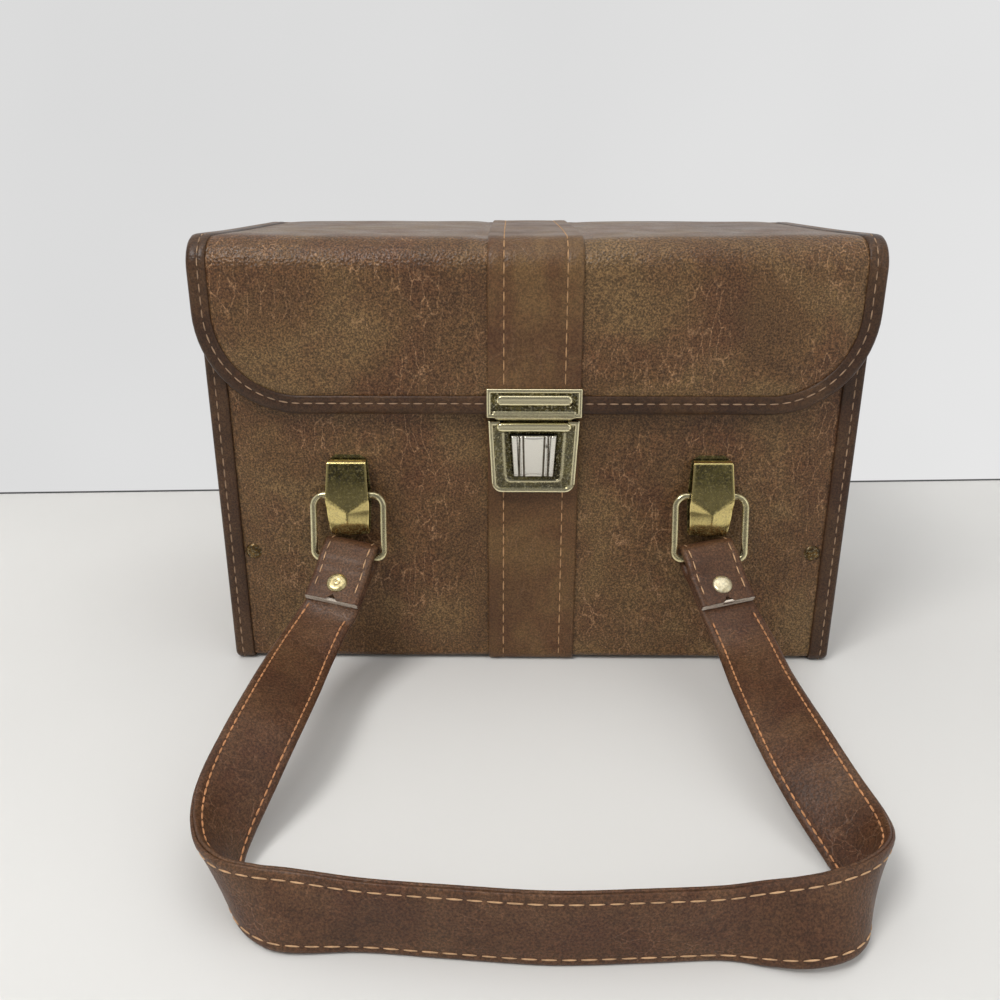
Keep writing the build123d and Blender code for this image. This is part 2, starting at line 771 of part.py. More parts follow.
with BuildPart() as clip:
    with BuildSketch(Plane.YZ):
        with BuildLine():
            FilletPolyline(*clip_course, radius=clip_bends)
            offset(amount=half_sheet, side=Side.BOTH)
        make_face()
    extrude(amount=clip_width, both=True)
    extrude(clip_outline(), amount=case_depth, both=True, mode=Mode.INTERSECT)
    with BuildSketch(front_plane(front)):
        with Locations((0, clip_rivet_height)):
            RegularPolygon(clip_rivet_radius, shank_sides)
    extrude(amount=2 * clip_sheet, mode=Mode.SUBTRACT)

for side, place in (("left", -clip_left), ("right", clip_right)):
    with BuildPart() as placed_clip:
        with Locations((place, 0, 0)):
            add(clip.part)
    save(placed_clip, f"clip_{side}")

with BuildPart() as clip_rivets:
    with BuildSketch(front_plane(front_inside)):
        with Locations(*clip_spots):
            RegularPolygon(clip_rivet_radius, shank_sides)
    extrude(amount=board + clip_sheet)
    with BuildSketch(front_plane(front - clip_sheet)):
        with Locations(*clip_spots):
            RegularPolygon(clip_rivet_head, shank_sides)
    extrude(amount=clip_rivet_dome)
    with BuildSketch(front_plane(front_inside + washer_thickness)):
        with Locations(*clip_spots):
            RegularPolygon(clip_rivet_head, shank_sides)
    extrude(amount=washer_thickness)
save(clip_rivets, "clip_rivets")

# Rivets that fasten the front board to the ends

with BuildPart() as front_rivets:
    with BuildSketch(front_plane(front_inside)):
        with Locations(*front_rivet_spots):
            RegularPolygon(front_rivet_radius, shank_sides)
    extrude(amount=board)
    with BuildSketch(front_plane(front)):
        with Locations(*front_rivet_spots):
            RegularPolygon(front_rivet_head, head_sides)
    extrude(amount=front_rivet_dome)
    chamfer(front_rivets.faces().sort_by(Axis.Y)[0:2].edges(), front_rivet_edge)
    with BuildSketch(front_plane(front_inside + washer_thickness)):
        with Locations(*front_rivet_spots):
            RegularPolygon(clip_rivet_head, shank_sides)
    extrude(amount=washer_thickness)
save(front_rivets, "front_rivets")

# Rings: each swings on its upper bar inside a clip and carries the strap on its lower bar

ring_rise = ring_bar_height - ring_low_height
ring_lean = ring_low_out - ring_bar_out
ring_height = math.hypot(ring_rise, ring_lean)


def ring_sections(plane):
    """Planes across the right half of a ring's wire, in its plane, close together in the bends."""
    course = plane * FilletPolyline(
        (0, 0), (ring_width / 2, 0), (ring_width / 2, -ring_height), (0, -ring_height),
        radius=[ring_corner_radius, ring_low_corner_radius],
    )
    sections = [Plane(plane.origin, x_dir=plane.z_dir, z_dir=plane.x_dir)]
    for edge in course.edges():
        chords = bend_chords if edge.geom_type == GeomType.CIRCLE else 1
        for step in range(chords):
            share = (step + 1) / chords
            sections.append(Plane(edge @ share, x_dir=plane.z_dir, z_dir=edge % share))
    return sections


for side, place in (("left", -clip_left), ("right", clip_right)):
    ring_plane = Plane((place, front - ring_bar_out, ring_bar_height), x_dir=(1, 0, 0),
                       z_dir=(0, -ring_rise, ring_lean))
    sections = ring_sections(ring_plane)
    with BuildPart() as ring:
        for section in sections:
            with BuildSketch(section):
                RegularPolygon(ring_wire, wire_sides)
        loft(ruled=True)
        mirror(about=Plane.YZ.offset(place))
    save(ring, f"ring_{side}")

# Strap: two plies sewn together, each end looped round a ring and riveted to itself

lean = math.radians(strap_lean)
skew = math.radians(strap_skew)
loop_radius = ring_wire + loop_gap
low_bar = Vector(0, front - ring_low_out, ring_low_height)


def end_plane(sign):
    """Plane of a strap end seen from its edge: x runs away from the ring, y is its upper side."""
    along = Vector(sign * math.sin(skew), -math.cos(skew) * math.sin(lean), -math.cos(skew) * math.cos(lean))
    upper = Vector(0, -math.cos(lean), math.sin(lean))
    place = clip_right if sign > 0 else -clip_left
    return Plane(low_bar + Vector(place, 0, 0), x_dir=along, z_dir=along.cross(upper))


def end_outline(level):
    """Edge view of a looped end up to a level on either side of the plane where its layers meet."""
    reach = loop_radius + level
    with BuildSketch() as outline:
        with BuildLine():
            lower = Polyline((strap_join, -level), (loop_close, -level), (loop_stretch, -reach),
                             (-loop_stretch, -reach))
            turn = ThreePointArc(lower @ 1, (-loop_stretch - reach, 0), (-loop_stretch, reach))
            upper = Polyline(turn @ 1, (loop_stretch, reach), (loop_close, level), (tab_length, level))
            Polyline(upper @ 1, (tab_length, 0), (strap_join, 0), lower @ 0)
        make_face()
    return outline.sketch


def eye_outline():
    """Edge view of the eye that is left round the ring's wire."""
    with BuildSketch() as eye:
        with BuildLine():
            lower = Line((loop_close, 0), (loop_stretch, -loop_radius))
            low_side = Line(lower @ 1, (-loop_stretch, -loop_radius))
            turn = ThreePointArc(low_side @ 1, (-loop_stretch - loop_radius, 0), (-loop_stretch, loop_radius))
            high_side = Line(turn @ 1, (loop_stretch, loop_radius))
            Line(high_side @ 1, lower @ 0)
        make_face()
    return eye.sketch


def course_planes():
    """Planes across the strap's free run: x to its upper edge, z along it, y to its outer face."""
    middles = [end_plane(-1).origin + end_plane(-1).x_dir * strap_join - end_plane(-1).y_dir * ply]
    uppers = [end_plane(-1).z_dir]
    for middle, upper in strap_course:
        middles.append(Vector(*middle))
        uppers.append(Vector(*upper))
    middles.append(end_plane(1).origin + end_plane(1).x_dir * strap_join - end_plane(1).y_dir * ply)
    uppers.append(-end_plane(1).z_dir)
    planes = []
    for index, middle in enumerate(middles):
        along = middles[min(index + 1, len(middles) - 1)] - middles[max(index - 1, 0)]
        if index == 0:
            along = end_plane(-1).x_dir
        if index == len(middles) - 1:
            along = -end_plane(1).x_dir
        along = along.normalized()
        upper = uppers[index] - along * uppers[index].dot(along)
        planes.append(Plane(middle, x_dir=upper, z_dir=along))
    return planes


strap_planes = course_planes()
rivet_holes = [end_plane(sign).shift_origin(end_plane(sign).from_local_coords((strap_rivet_place, 0, 0)))
               for sign in (-1, 1)]
rivet_planes = [Plane(hole.origin, x_dir=hole.x_dir, z_dir=hole.y_dir) for hole in rivet_holes]
tab_reach = tab_length - strap_rivet_place
section_widths = [loop_width] + [strap_width] * len(strap_course) + [loop_width]

for name, level, offset_out in (("inner", 0.0, -ply / 2), ("outer", ply, ply / 2)):
    with BuildPart() as strap_ply:
        for plane, width in zip(strap_planes, section_widths):
            with BuildSketch(plane):
                with Locations((0, offset_out)):
                    Rectangle(width, ply)
        loft(ruled=True)
        for sign in (-1, 1):
            with BuildSketch(end_plane(sign)):
                add(end_outline(level + ply))
                if level > 0:
                    add(end_outline(level), mode=Mode.SUBTRACT)
                else:
                    add(eye_outline(), mode=Mode.SUBTRACT)
            extrude(amount=loop_width / 2, both=True)
        for plane in rivet_planes:
            with BuildSketch(plane):
                RegularPolygon(strap_rivet_radius, shank_sides)
            extrude(amount=4 * ply, both=True, mode=Mode.SUBTRACT)
            if level > 0:
                with BuildSketch(plane.offset(level)):
                    with BuildLine():
                        Polyline(
                            (tab_reach, -tab_notch_width / 2),
                            (tab_reach, tab_notch_width / 2),
                            (tab_reach - tab_notch_depth, 0),
                            close=True,
                        )
                    make_face()
                extrude(amount=ply, mode=Mode.SUBTRACT)
    save(strap_ply, f"strap_{name}_ply")

with BuildPart() as strap_rivets:
    for plane in rivet_planes:
        with BuildSketch(plane.offset(-2 * ply)):
            RegularPolygon(strap_rivet_radius, shank_sides)
        extrude(amount=4 * ply)
        with BuildSketch(plane.offset(2 * ply)):
            RegularPolygon(strap_rivet_head, head_sides)
        extrude(amount=strap_rivet_dome)
        chamfer(strap_rivets.faces().sort_by(Axis(plane.origin, plane.z_dir))[-1].edges(), strap_rivet_edge)
        with BuildSketch(plane.offset(-2 * ply)):
            RegularPolygon(strap_rivet_head, head_sides)
        extrude(amount=-strap_rivet_dome)
        chamfer(strap_rivets.faces().sort_by(Axis(plane.origin, plane.z_dir))[0].edges(), strap_rivet_edge)
save(strap_rivets, "strap_rivets")
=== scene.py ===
import bpy
import bmesh
import math
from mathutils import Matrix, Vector, noise


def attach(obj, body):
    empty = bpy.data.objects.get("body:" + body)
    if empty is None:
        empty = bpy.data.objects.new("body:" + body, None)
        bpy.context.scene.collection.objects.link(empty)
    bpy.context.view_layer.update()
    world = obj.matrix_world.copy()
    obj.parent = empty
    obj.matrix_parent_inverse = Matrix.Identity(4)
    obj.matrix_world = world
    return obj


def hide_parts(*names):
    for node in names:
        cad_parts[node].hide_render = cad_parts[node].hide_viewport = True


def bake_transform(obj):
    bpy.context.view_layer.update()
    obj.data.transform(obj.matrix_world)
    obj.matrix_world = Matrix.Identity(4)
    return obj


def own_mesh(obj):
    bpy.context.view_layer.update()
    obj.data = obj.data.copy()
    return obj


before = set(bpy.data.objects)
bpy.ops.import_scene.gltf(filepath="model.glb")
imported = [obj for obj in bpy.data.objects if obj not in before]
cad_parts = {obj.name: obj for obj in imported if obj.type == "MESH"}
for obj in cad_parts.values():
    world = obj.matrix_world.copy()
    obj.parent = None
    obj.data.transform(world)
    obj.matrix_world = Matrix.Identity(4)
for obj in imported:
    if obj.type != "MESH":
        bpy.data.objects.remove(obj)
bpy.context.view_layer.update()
scene = bpy.context.scene
scene.view_settings.view_transform = "Standard"
mm = 0.001

# Sizes of the case, in millimetres, as the frame has them
case = {"front": -61.0, "back": 61.0, "rim": 166.3, "height": 171.0, "crest": 173.0,
        "trim": 1.2, "board": 3.5, "corner": 2.8, "stripHalf": 17.7, "foot": 4.2, "roofRise": 2.0,
        "roofRun": 127.9}
lid = {"halfWidth": 126.5, "flapFront": -66.9, "flapBottom": 108.0, "foldRadius": 12.0, "cornerRadius": 38.0,
       "thickness": 4.4, "stripHalf": 17.5}
sides = (("left", -1), ("right", 1))


# Small helpers

def srgb(r, g, b):
    def linear(c):
        c /= 255
        return c / 12.92 if c <= 0.04045 else ((c + 0.055) / 1.055) ** 2.4
    return (linear(r), linear(g), linear(b), 1.0)


def spread(low, high, count):
    return [low + (high - low) * i / (count - 1) for i in range(count)]


def smoothStep(t):
    t = min(max(t, 0.0), 1.0)
    return t * t * (3 - 2 * t)


def bell(distance, width):  # 1 in the middle, fading out over the width
    return math.exp(-(distance / width) ** 2)


def swellOf(distance, reach):  # 0 at an edge, rising to 1 over the reach
    return 1 - math.exp(-max(distance, 0) / reach)


def roundOff(edge, width):  # 1 at an edge, 0 beyond the width
    return (1 - min(edge / width, 1)) ** 2


def mirrored(values):  # from the negative values over zero to the positive ones
    return [-v for v in reversed(values)] + [0, *values]


def rough(x, y, z, size, seed=0.0):  # smooth noise, about -1 to 1
    return noise.noise(Vector((x / size + seed, y / size - seed, z / size + 2 * seed)))


def makeObject(name, points, faces, materials, faceMaterials=None, smooth=True):
    mesh = bpy.data.meshes.new(name)
    mesh.from_pydata([[c * mm for c in p] for p in points], [], faces)
    for material in materials:
        mesh.materials.append(material)
    if faceMaterials:
        mesh.polygons.foreach_set("material_index", faceMaterials)
    bm = bmesh.new()
    bm.from_mesh(mesh)
    bmesh.ops.remove_doubles(bm, verts=bm.verts, dist=2e-6)
    bmesh.ops.recalc_face_normals(bm, faces=bm.faces)
    for face in bm.faces:
        face.smooth = smooth
    bm.to_mesh(mesh)
    bm.free()
    piece = bpy.data.objects.new(name, mesh)
    scene.collection.objects.link(piece)
    return piece


def slab(name, outer, inner, materials, skip=None):
    # a closed sheet between two grids of points, open where skip(row, column) says so;
    # its inner face has the last of the materials, the rest the first
    rows, cols = len(outer), len(outer[0])
    points = [p for row in outer + inner for p in row]
    shift = rows * cols
    cells = [(r, c) for r in range(rows - 1) for c in range(cols - 1) if not (skip and skip(r, c))]
    faces, looks, edges = [], [], {}
    for r, c in cells:
        quad = (r * cols + c, r * cols + c + 1, (r + 1) * cols + c + 1, (r + 1) * cols + c)
        faces += [quad, tuple(i + shift for i in reversed(quad))]
        looks += [0, len(materials) - 1]
        for a, b in zip(quad, quad[1:] + quad[:1]):
            edges[(a, b)] = True
    for a, b in edges:
        if (b, a) not in edges:
            faces.append((b, a, a + shift, b + shift))
            looks.append(0)
    return makeObject(name, points, faces, materials, looks)


def gridOf(rows, columns):
    return [[(column, row) for column in columns] for row in rows]


def sheetOf(name, places, outerAt, innerAt, materials, skip=None):
    # a slab whose two faces are functions of the places in a grid
    outer, inner = ([[faceAt(*place) for place in row] for row in places] for faceAt in (outerAt, innerAt))
    return slab(name, outer, inner, materials, skip)


def sweep(name, rings, materials, closed=False):
    # skin over rings of equal point count; the ends are capped unless the sweep closes
    count, size = len(rings), len(rings[0])
    points = [p for ring in rings for p in ring]
    faces = []
    for i in range(count if closed else count - 1):
        j = (i + 1) % count
        for k in range(size):
            m = (k + 1) % size
            faces.append((i * size + k, i * size + m, j * size + m, j * size + k))
    if not closed:
        faces.append(tuple(reversed(range(size))))
        faces.append(tuple(range((count - 1) * size, count * size)))
    return makeObject(name, points, faces, materials)


def bevelEdges(piece, width, segments=2, angle=35):  # as plain mesh, without a live modifier
    bevel = piece.modifiers.new("edges", "BEVEL")
    bevel.width = width * mm
    bevel.segments = segments
    bevel.limit_method = "ANGLE"
    bevel.angle_limit = math.radians(angle)
    evaluated = piece.evaluated_get(bpy.context.evaluated_depsgraph_get())
    mesh = bpy.data.meshes.new_from_object(evaluated)
    piece.modifiers.clear()
    piece.data = mesh
    return piece


def joinPieces(name, pieces):
    bm = bmesh.new()
    for piece in pieces:
        bm.from_mesh(piece.data)
    mesh = bpy.data.meshes.new(name)
    for material in pieces[0].data.materials:
        mesh.materials.append(material)
    bm.to_mesh(mesh)
    bm.free()
    for piece in pieces:
        bpy.data.objects.remove(piece)
    joined = bpy.data.objects.new(name, mesh)
    scene.collection.objects.link(joined)
    return joined


def dress(piece, body, slotName, *nodes):
    # the CAD nodes that a piece takes the place of and the body that carries it; its finish, slotName, is not
    # used
    if nodes:
        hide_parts(*nodes)
    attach(piece, body)


# Camera, light, floor and wall

view = {"place": (-9.3, -407.0, 197.0), "down": 19.89, "left": 0.61, "lens": 33.3, "sensor": 36,
        "nearest": 0.01}
cameraData = bpy.data.cameras.new("camera")
cameraData.lens = view["lens"]
cameraData.sensor_width = view["sensor"]
cameraData.clip_start = view["nearest"]
cameraObject = bpy.data.objects.new("camera", cameraData)
cameraObject.location = [c * mm for c in view["place"]]
cameraObject.rotation_euler = (math.radians(90 - view["down"]), 0, math.radians(view["left"]))
scene.collection.objects.link(cameraObject)
scene.camera = cameraObject


def addNode(tree, kind, options=None, **inputs):
    # an input's keyword is its name, or i and its number
    node = tree.nodes.new(kind)
    for key, value in (options or {}).items():
        setattr(node, key, value)
    for key, value in inputs.items():
        numbered = key[0] == "i" and key[1:].isdigit()
        socket = node.inputs[int(key[1:]) if numbered else key.replace("_", " ")]
        if isinstance(value, bpy.types.NodeSocket):
            tree.links.new(value, socket)
        else:
            socket.default_value = value
    return node


def startMaterial(name):
    material = bpy.data.materials.new(name)
    material.use_nodes = True
    tree = material.node_tree
    tree.nodes.clear()
    place = tree.nodes.new("ShaderNodeTexCoord").outputs["Object"]
    return material, tree, place


def endMaterial(tree, **inputs):
    shader = addNode(tree, "ShaderNodeBsdfPrincipled", **inputs)
    addNode(tree, "ShaderNodeOutputMaterial", Surface=shader.outputs[0])


def noiseOf(tree, place, size, detail=3.0, roughness=0.5, distortion=0.0):
    # size is the width of one blotch in millimetres
    return addNode(tree, "ShaderNodeTexNoise", Vector=place, Scale=1 / (size * mm), Detail=detail,
                   Roughness=roughness, Distortion=distortion).outputs[0]


def rampOf(tree, value, stops):
    ramp = tree.nodes.new("ShaderNodeValToRGB")
    tree.links.new(value, ramp.inputs[0])
    elements = ramp.color_ramp.elements
    while len(elements) < len(stops):
        elements.new(0.5)
    for element, (place, tone) in zip(elements, stops):
        element.position = place
        element.color = tone if isinstance(tone, tuple) else (tone, tone, tone, 1)
    return ramp.outputs[0]


def mixOf(tree, factor, a, b, kind="MIX"):
    return addNode(tree, "ShaderNodeMix", {"data_type": "RGBA", "blend_type": kind},
                   i0=factor, i6=a, i7=b).outputs[2]


def mathOf(tree, operation, a, b=0.0):
    return addNode(tree, "ShaderNodeMath", {"operation": operation}, i0=a, i1=b).outputs[0]


def bumpOf(tree, height, distance, strength=1.0, normal=None):
    # distance in millimetres
    inputs = {"Height": height, "Distance": distance * mm, "Strength": strength}
    if normal:
        inputs["Normal"] = normal
    return addNode(tree, "ShaderNodeBump", **inputs).outputs[0]


def leatherMaterial(name, look):
    # pebbled, marbled sheet with fine creases and painted specks of pebble highlight and pit shade; sizes in
    # millimetres
    material, tree, place = startMaterial(name)
    marble = noiseOf(tree, place, look["marbleSize"], 4, 0.55, 0.6)
    colour = rampOf(tree, marble, [(0.3, look["dark"]), (0.47, look["base"]), (0.60, look["light"]),
                                   (0.74, look["base"])])
    blush = noiseOf(tree, place, look["marbleSize"] * 0.6, 5, 0.6, 0.3)
    blush = rampOf(tree, blush, [(0.45, 0.0), (0.65, 1.0)])
    colour = mixOf(tree, mathOf(tree, "MULTIPLY", blush, look["blushShare"]), colour, look["blush"])
    pebble = addNode(tree, "ShaderNodeTexVoronoi", {"feature": "SMOOTH_F1"}, Vector=place,
                     Scale=1 / (look["pebble"] * mm), Smoothness=0.6, Randomness=1.0).outputs[0]
    stretched = addNode(tree, "ShaderNodeMapping", Vector=place, Scale=look["stretch"]).outputs[0]
    wander = addNode(tree, "ShaderNodeTexNoise", Vector=place, Scale=1 / (6 * mm)).outputs[1]
    creaseSpot = addNode(tree, "ShaderNodeTexVoronoi", {"feature": "DISTANCE_TO_EDGE"},
                         Vector=mixOf(tree, 0.003, stretched, wander, "ADD"),
                         Scale=1 / (look["crease"] * mm)).outputs[0]
    creaseLine = rampOf(tree, creaseSpot, [(0.0, 1.0), (0.05, 0.0)])
    creaseSpread = rampOf(tree, noiseOf(tree, place, 30, 4, 0.75), [(0.47, 0.0), (0.6, 1.0)])
    creases = mathOf(tree, "MULTIPLY", creaseLine, creaseSpread)
    colour = mixOf(tree, mathOf(tree, "MULTIPLY", creases, look["creaseShare"]), colour, look["worn"])
    # the flecks are painted light: pale specks are painted highlights on the pebble grain, dark specks
    # painted shade in its pits
    low, high = look["pebbleHighlightAndPitShade"]
    pebbleHighlightAndPitShade = rampOf(tree, noiseOf(tree, place, 0.75, 3, 0.8), [(0.38, low), (0.5, 1.0), (0.62, high)])
    colour = mixOf(tree, 1.0, colour, pebbleHighlightAndPitShade, "MULTIPLY")
    height = bumpOf(tree, pebble, look["pebbleDepth"], 0.8)
    height = bumpOf(tree, noiseOf(tree, place, 9, 4, 0.6), 0.35, 0.8, height)
    height = bumpOf(tree, mathOf(tree, "SUBTRACT", 1.0, creases), 0.12, 0.7, height)
    low, high = look["gloss"]
    sheen = rampOf(tree, noiseOf(tree, place, 16, 3, 0.6), [(0.3, low), (0.7, high)])
    endMaterial(tree, Base_Color=colour, Roughness=sheen, Normal=height, IOR=1.5, Specular_IOR_Level=0.3)
    return material


# in each look, fleck is the range of the painted pebble highlights and pit shade
vinylLook = {"marbleSize": 52, "dark": srgb(74, 51, 31), "base": srgb(92, 67, 41), "light": srgb(103, 80, 51),
             "blush": srgb(82, 50, 32), "blushShare": 0.6, "pebble": 0.95, "pebbleDepth": 0.34, "crease": 4.0,
             "creaseShare": 0.5, "worn": srgb(160, 124, 90), "gloss": (0.3, 0.44), "pebbleHighlightAndPitShade": (0.45, 2.0),
             "stretch": (1.0, 1.0, 0.3)}
tapeLook = {"marbleSize": 30, "dark": srgb(50, 32, 19), "base": srgb(64, 43, 26), "light": srgb(76, 53, 33),
            "blush": srgb(60, 35, 22), "blushShare": 0.4, "pebble": 0.9, "pebbleDepth": 0.12, "crease": 5.0,
            "creaseShare": 0.25, "worn": srgb(108, 82, 62), "gloss": (0.3, 0.44), "pebbleHighlightAndPitShade": (0.6, 1.5),
            "stretch": (1, 1, 1)}
stripLook = {"marbleSize": 36, "dark": srgb(80, 53, 32), "base": srgb(95, 68, 41), "light": srgb(106, 80, 49),
             "blush": srgb(86, 53, 34), "blushShare": 0.5, "pebble": 0.9, "pebbleDepth": 0.14, "crease": 6.0,
             "creaseShare": 0.25, "worn": srgb(132, 102, 76), "gloss": (0.34, 0.48), "pebbleHighlightAndPitShade": (0.65, 1.4),
             "stretch": (1.0, 1.0, 0.5)}
strapLook = {"marbleSize": 24, "dark": srgb(70, 45, 29), "base": srgb(82, 55, 36), "light": srgb(90, 63, 42),
             "blush": srgb(76, 45, 30), "blushShare": 0.5, "pebble": 0.8, "pebbleDepth": 0.12, "crease": 4.0,
             "creaseShare": 0.3, "worn": srgb(140, 104, 78), "gloss": (0.38, 0.54), "pebbleHighlightAndPitShade": (0.55, 1.6),
             "stretch": (0.6, 1, 1)}
vinyl = leatherMaterial("caseVinyl", vinylLook)
tape = leatherMaterial("bindingTape", tapeLook)
stripVinyl = leatherMaterial("centreStrip", stripLook)
strapLeather = leatherMaterial("strapLeather", strapLook)
print("leather materials made")


def threadMaterial(name, tone):
    material, tree, place = startMaterial(name)
    shade = rampOf(tree, noiseOf(tree, place, 3, 3, 0.6), [(0.35, 0.75), (0.65, 1.15)])
    twist = addNode(tree, "ShaderNodeTexWave", Vector=place, Scale=1 / (1.2 * mm), Distortion=2.0).outputs[1]
    endMaterial(tree, Base_Color=mixOf(tree, 1.0, tone, shade, "MULTIPLY"), Roughness=0.7,
                Normal=bumpOf(tree, twist, 0.08, 0.6))
    return material


caseThread = threadMaterial("caseThread", srgb(160, 130, 102))
stripThread = threadMaterial("stripThread", srgb(190, 148, 104))
strapThread = threadMaterial("strapThread", srgb(196, 138, 92))
strapThreadPale = threadMaterial("strapThreadPale", srgb(200, 160, 120))


def metalMaterial(name, look):
    # plated metal: bright where the polish attribute is high, tarnished and speckled where it is low, with
    # painted glints and a painted reflection over it
    material, tree, place = startMaterial(name)
    polish = addNode(tree, "ShaderNodeAttribute", {"attribute_name": "polish"}).outputs["Fac"]
    low, high = look["tarnish"]
    tarnish = rampOf(tree, noiseOf(tree, place, look["patchSize"], 5, 0.65, 0.4), [(low, 0.0), (high, 1.0)])
    worn = mixOf(tree, tarnish, look["plain"], look["dull"])
    specks = rampOf(tree, noiseOf(tree, place, 0.9, 3, 0.75), [(0.42, 1.0), (0.52, 0.0)])
    # painted glints: sparse specks of painted highlight, mixed toward the bright colour
    paintedGlints = rampOf(tree, noiseOf(tree, place, 0.75, 3, 0.75), [(0.53, 0.0), (0.63, 1.0)])
    worn = mixOf(tree, mathOf(tree, "MULTIPLY", specks, look["speckShare"]), worn, look["speck"])
    worn = mixOf(tree, mathOf(tree, "MULTIPLY", paintedGlints, look["paintedGlintShare"]), worn, look["bright"])
    colour = mixOf(tree, polish, worn, look["bright"])
    # painted reflection: a ramp over the facing darkens faces turned to the viewer and brightens their
    # sloping sides, painting the highlight lines of rims, wires and rivet domes
    facing = addNode(tree, "ShaderNodeLayerWeight", Blend=0.5).outputs["Facing"]
    mirror = rampOf(tree, facing, [(0.0, 0.3), (0.07, 0.5), (0.2, 1.15), (0.5, 1.2), (0.9, 0.5)])
    mirror = mathOf(tree, "ADD", mathOf(tree, "MULTIPLY", mirror, look["mirror"]), 1 - look["mirror"])
    colour = mixOf(tree, 1.0, colour, mirror, "MULTIPLY")
    low, high = look["gloss"]
    gloss = rampOf(tree, noiseOf(tree, place, 2.5, 4, 0.6), [(0.3, low), (0.7, high)])
    gloss = mixOf(tree, polish, gloss, (low, low, low, 1))
    height = bumpOf(tree, noiseOf(tree, place, 1.2, 4, 0.6), look["grain"], 0.6)
    dull = mathOf(tree, "MULTIPLY", specks, mathOf(tree, "SUBTRACT", 1.0, polish))
    metallic = mathOf(tree, "SUBTRACT", 1.0, mathOf(tree, "MULTIPLY", dull, 0.5))
    endMaterial(tree, Base_Color=colour, Metallic=metallic, Roughness=gloss, Normal=height)
    return material


# each look also sets how strongly the painted glints and the painted reflection show
brassLook = {"patchSize": 7, "tarnish": (0.40, 0.66), "plain": srgb(176, 160, 92), "dull": srgb(96, 88, 46),
             "bright": srgb(244, 234, 194), "speckShare": 0.8, "speck": srgb(40, 36, 20), "paintedGlintShare": 0.5,
             "gloss": (0.2, 0.36), "grain": 0.05, "mirror": 0.85}
metalLooks = {
    "clipBrass": {"plain": srgb(148, 136, 84), "dull": srgb(96, 86, 50), "bright": srgb(236, 216, 146),
                  "tarnish": (0.34, 0.62)},
    "darkBrass": {"plain": srgb(128, 118, 70), "dull": srgb(70, 62, 38), "paintedGlintShare": 0.55,
                  "tarnish": (0.34, 0.62)},
    "ringBrass": {"plain": srgb(206, 192, 132), "dull": srgb(140, 126, 76), "speckShare": 0.4,
                  "paintedGlintShare": 0.2, "gloss": (0.16, 0.3)},
    "rivetBrass": {"patchSize": 3, "plain": srgb(190, 170, 112), "dull": srgb(140, 122, 72),
                   "speckShare": 0.3, "mirror": 0.25},
    "boardRivet": {"patchSize": 2.5, "plain": srgb(128, 100, 56), "dull": srgb(62, 42, 28),
                   "paintedGlintShare": 0.2, "mirror": 0.5},
    "paleRivet": {"patchSize": 3, "plain": srgb(226, 216, 188), "dull": srgb(180, 160, 118),
                  "speckShare": 0.4, "gloss": (0.3, 0.45), "mirror": 0.1},
    "buttonNickel": {"patchSize": 6, "plain": srgb(112, 104, 92), "dull": srgb(84, 76, 64),
                     "bright": srgb(226, 222, 212), "speckShare": 0.5, "paintedGlintShare": 0.0,
                     "gloss": (0.22, 0.3), "grain": 0.01, "mirror": 0.0},
    "plainSteel": {"patchSize": 6, "plain": srgb(150, 148, 142), "dull": srgb(104, 100, 92),
                   "speckShare": 0.3, "paintedGlintShare": 0.0, "gloss": (0.35, 0.5)}}
clipBrass, darkBrass, wireBrass, rivetBrass, boardRivet, paleRivet, nickel, steel = (
    metalMaterial(name, dict(brassLook, **look)) for name, look in metalLooks.items())


def clothMaterial(name, tone, shade):
    material, tree, place = startMaterial(name)
    pile = noiseOf(tree, place, 0.7, 4, 0.7)
    patch = rampOf(tree, noiseOf(tree, place, 30, 3, 0.6), [(0.35, shade), (0.65, tone)])
    colour = mixOf(tree, 1.0, patch, rampOf(tree, pile, [(0.3, 0.7), (0.7, 1.2)]), "MULTIPLY")
    height = bumpOf(tree, pile, 0.3, 0.9)
    endMaterial(tree, Base_Color=colour, Roughness=0.95, Sheen_Weight=0.3, Normal=height)
    return material


liningCloth = clothMaterial("liningCloth", srgb(150, 128, 96), srgb(132, 110, 80))
padCloth = clothMaterial("padCloth", srgb(142, 120, 88), srgb(124, 102, 74))


def edgeMaterial():  # raw cut edge of the strap's layers
    material, tree, place = startMaterial("cutEdge")
    fibre = noiseOf(tree, place, 0.5, 4, 0.7)
    colour = rampOf(tree, fibre, [(0.3, srgb(186, 172, 154)), (0.7, srgb(240, 230, 216))])
    endMaterial(tree, Base_Color=colour, Roughness=0.9, Normal=bumpOf(tree, fibre, 0.15, 0.8))
    return material


cutEdge = edgeMaterial()


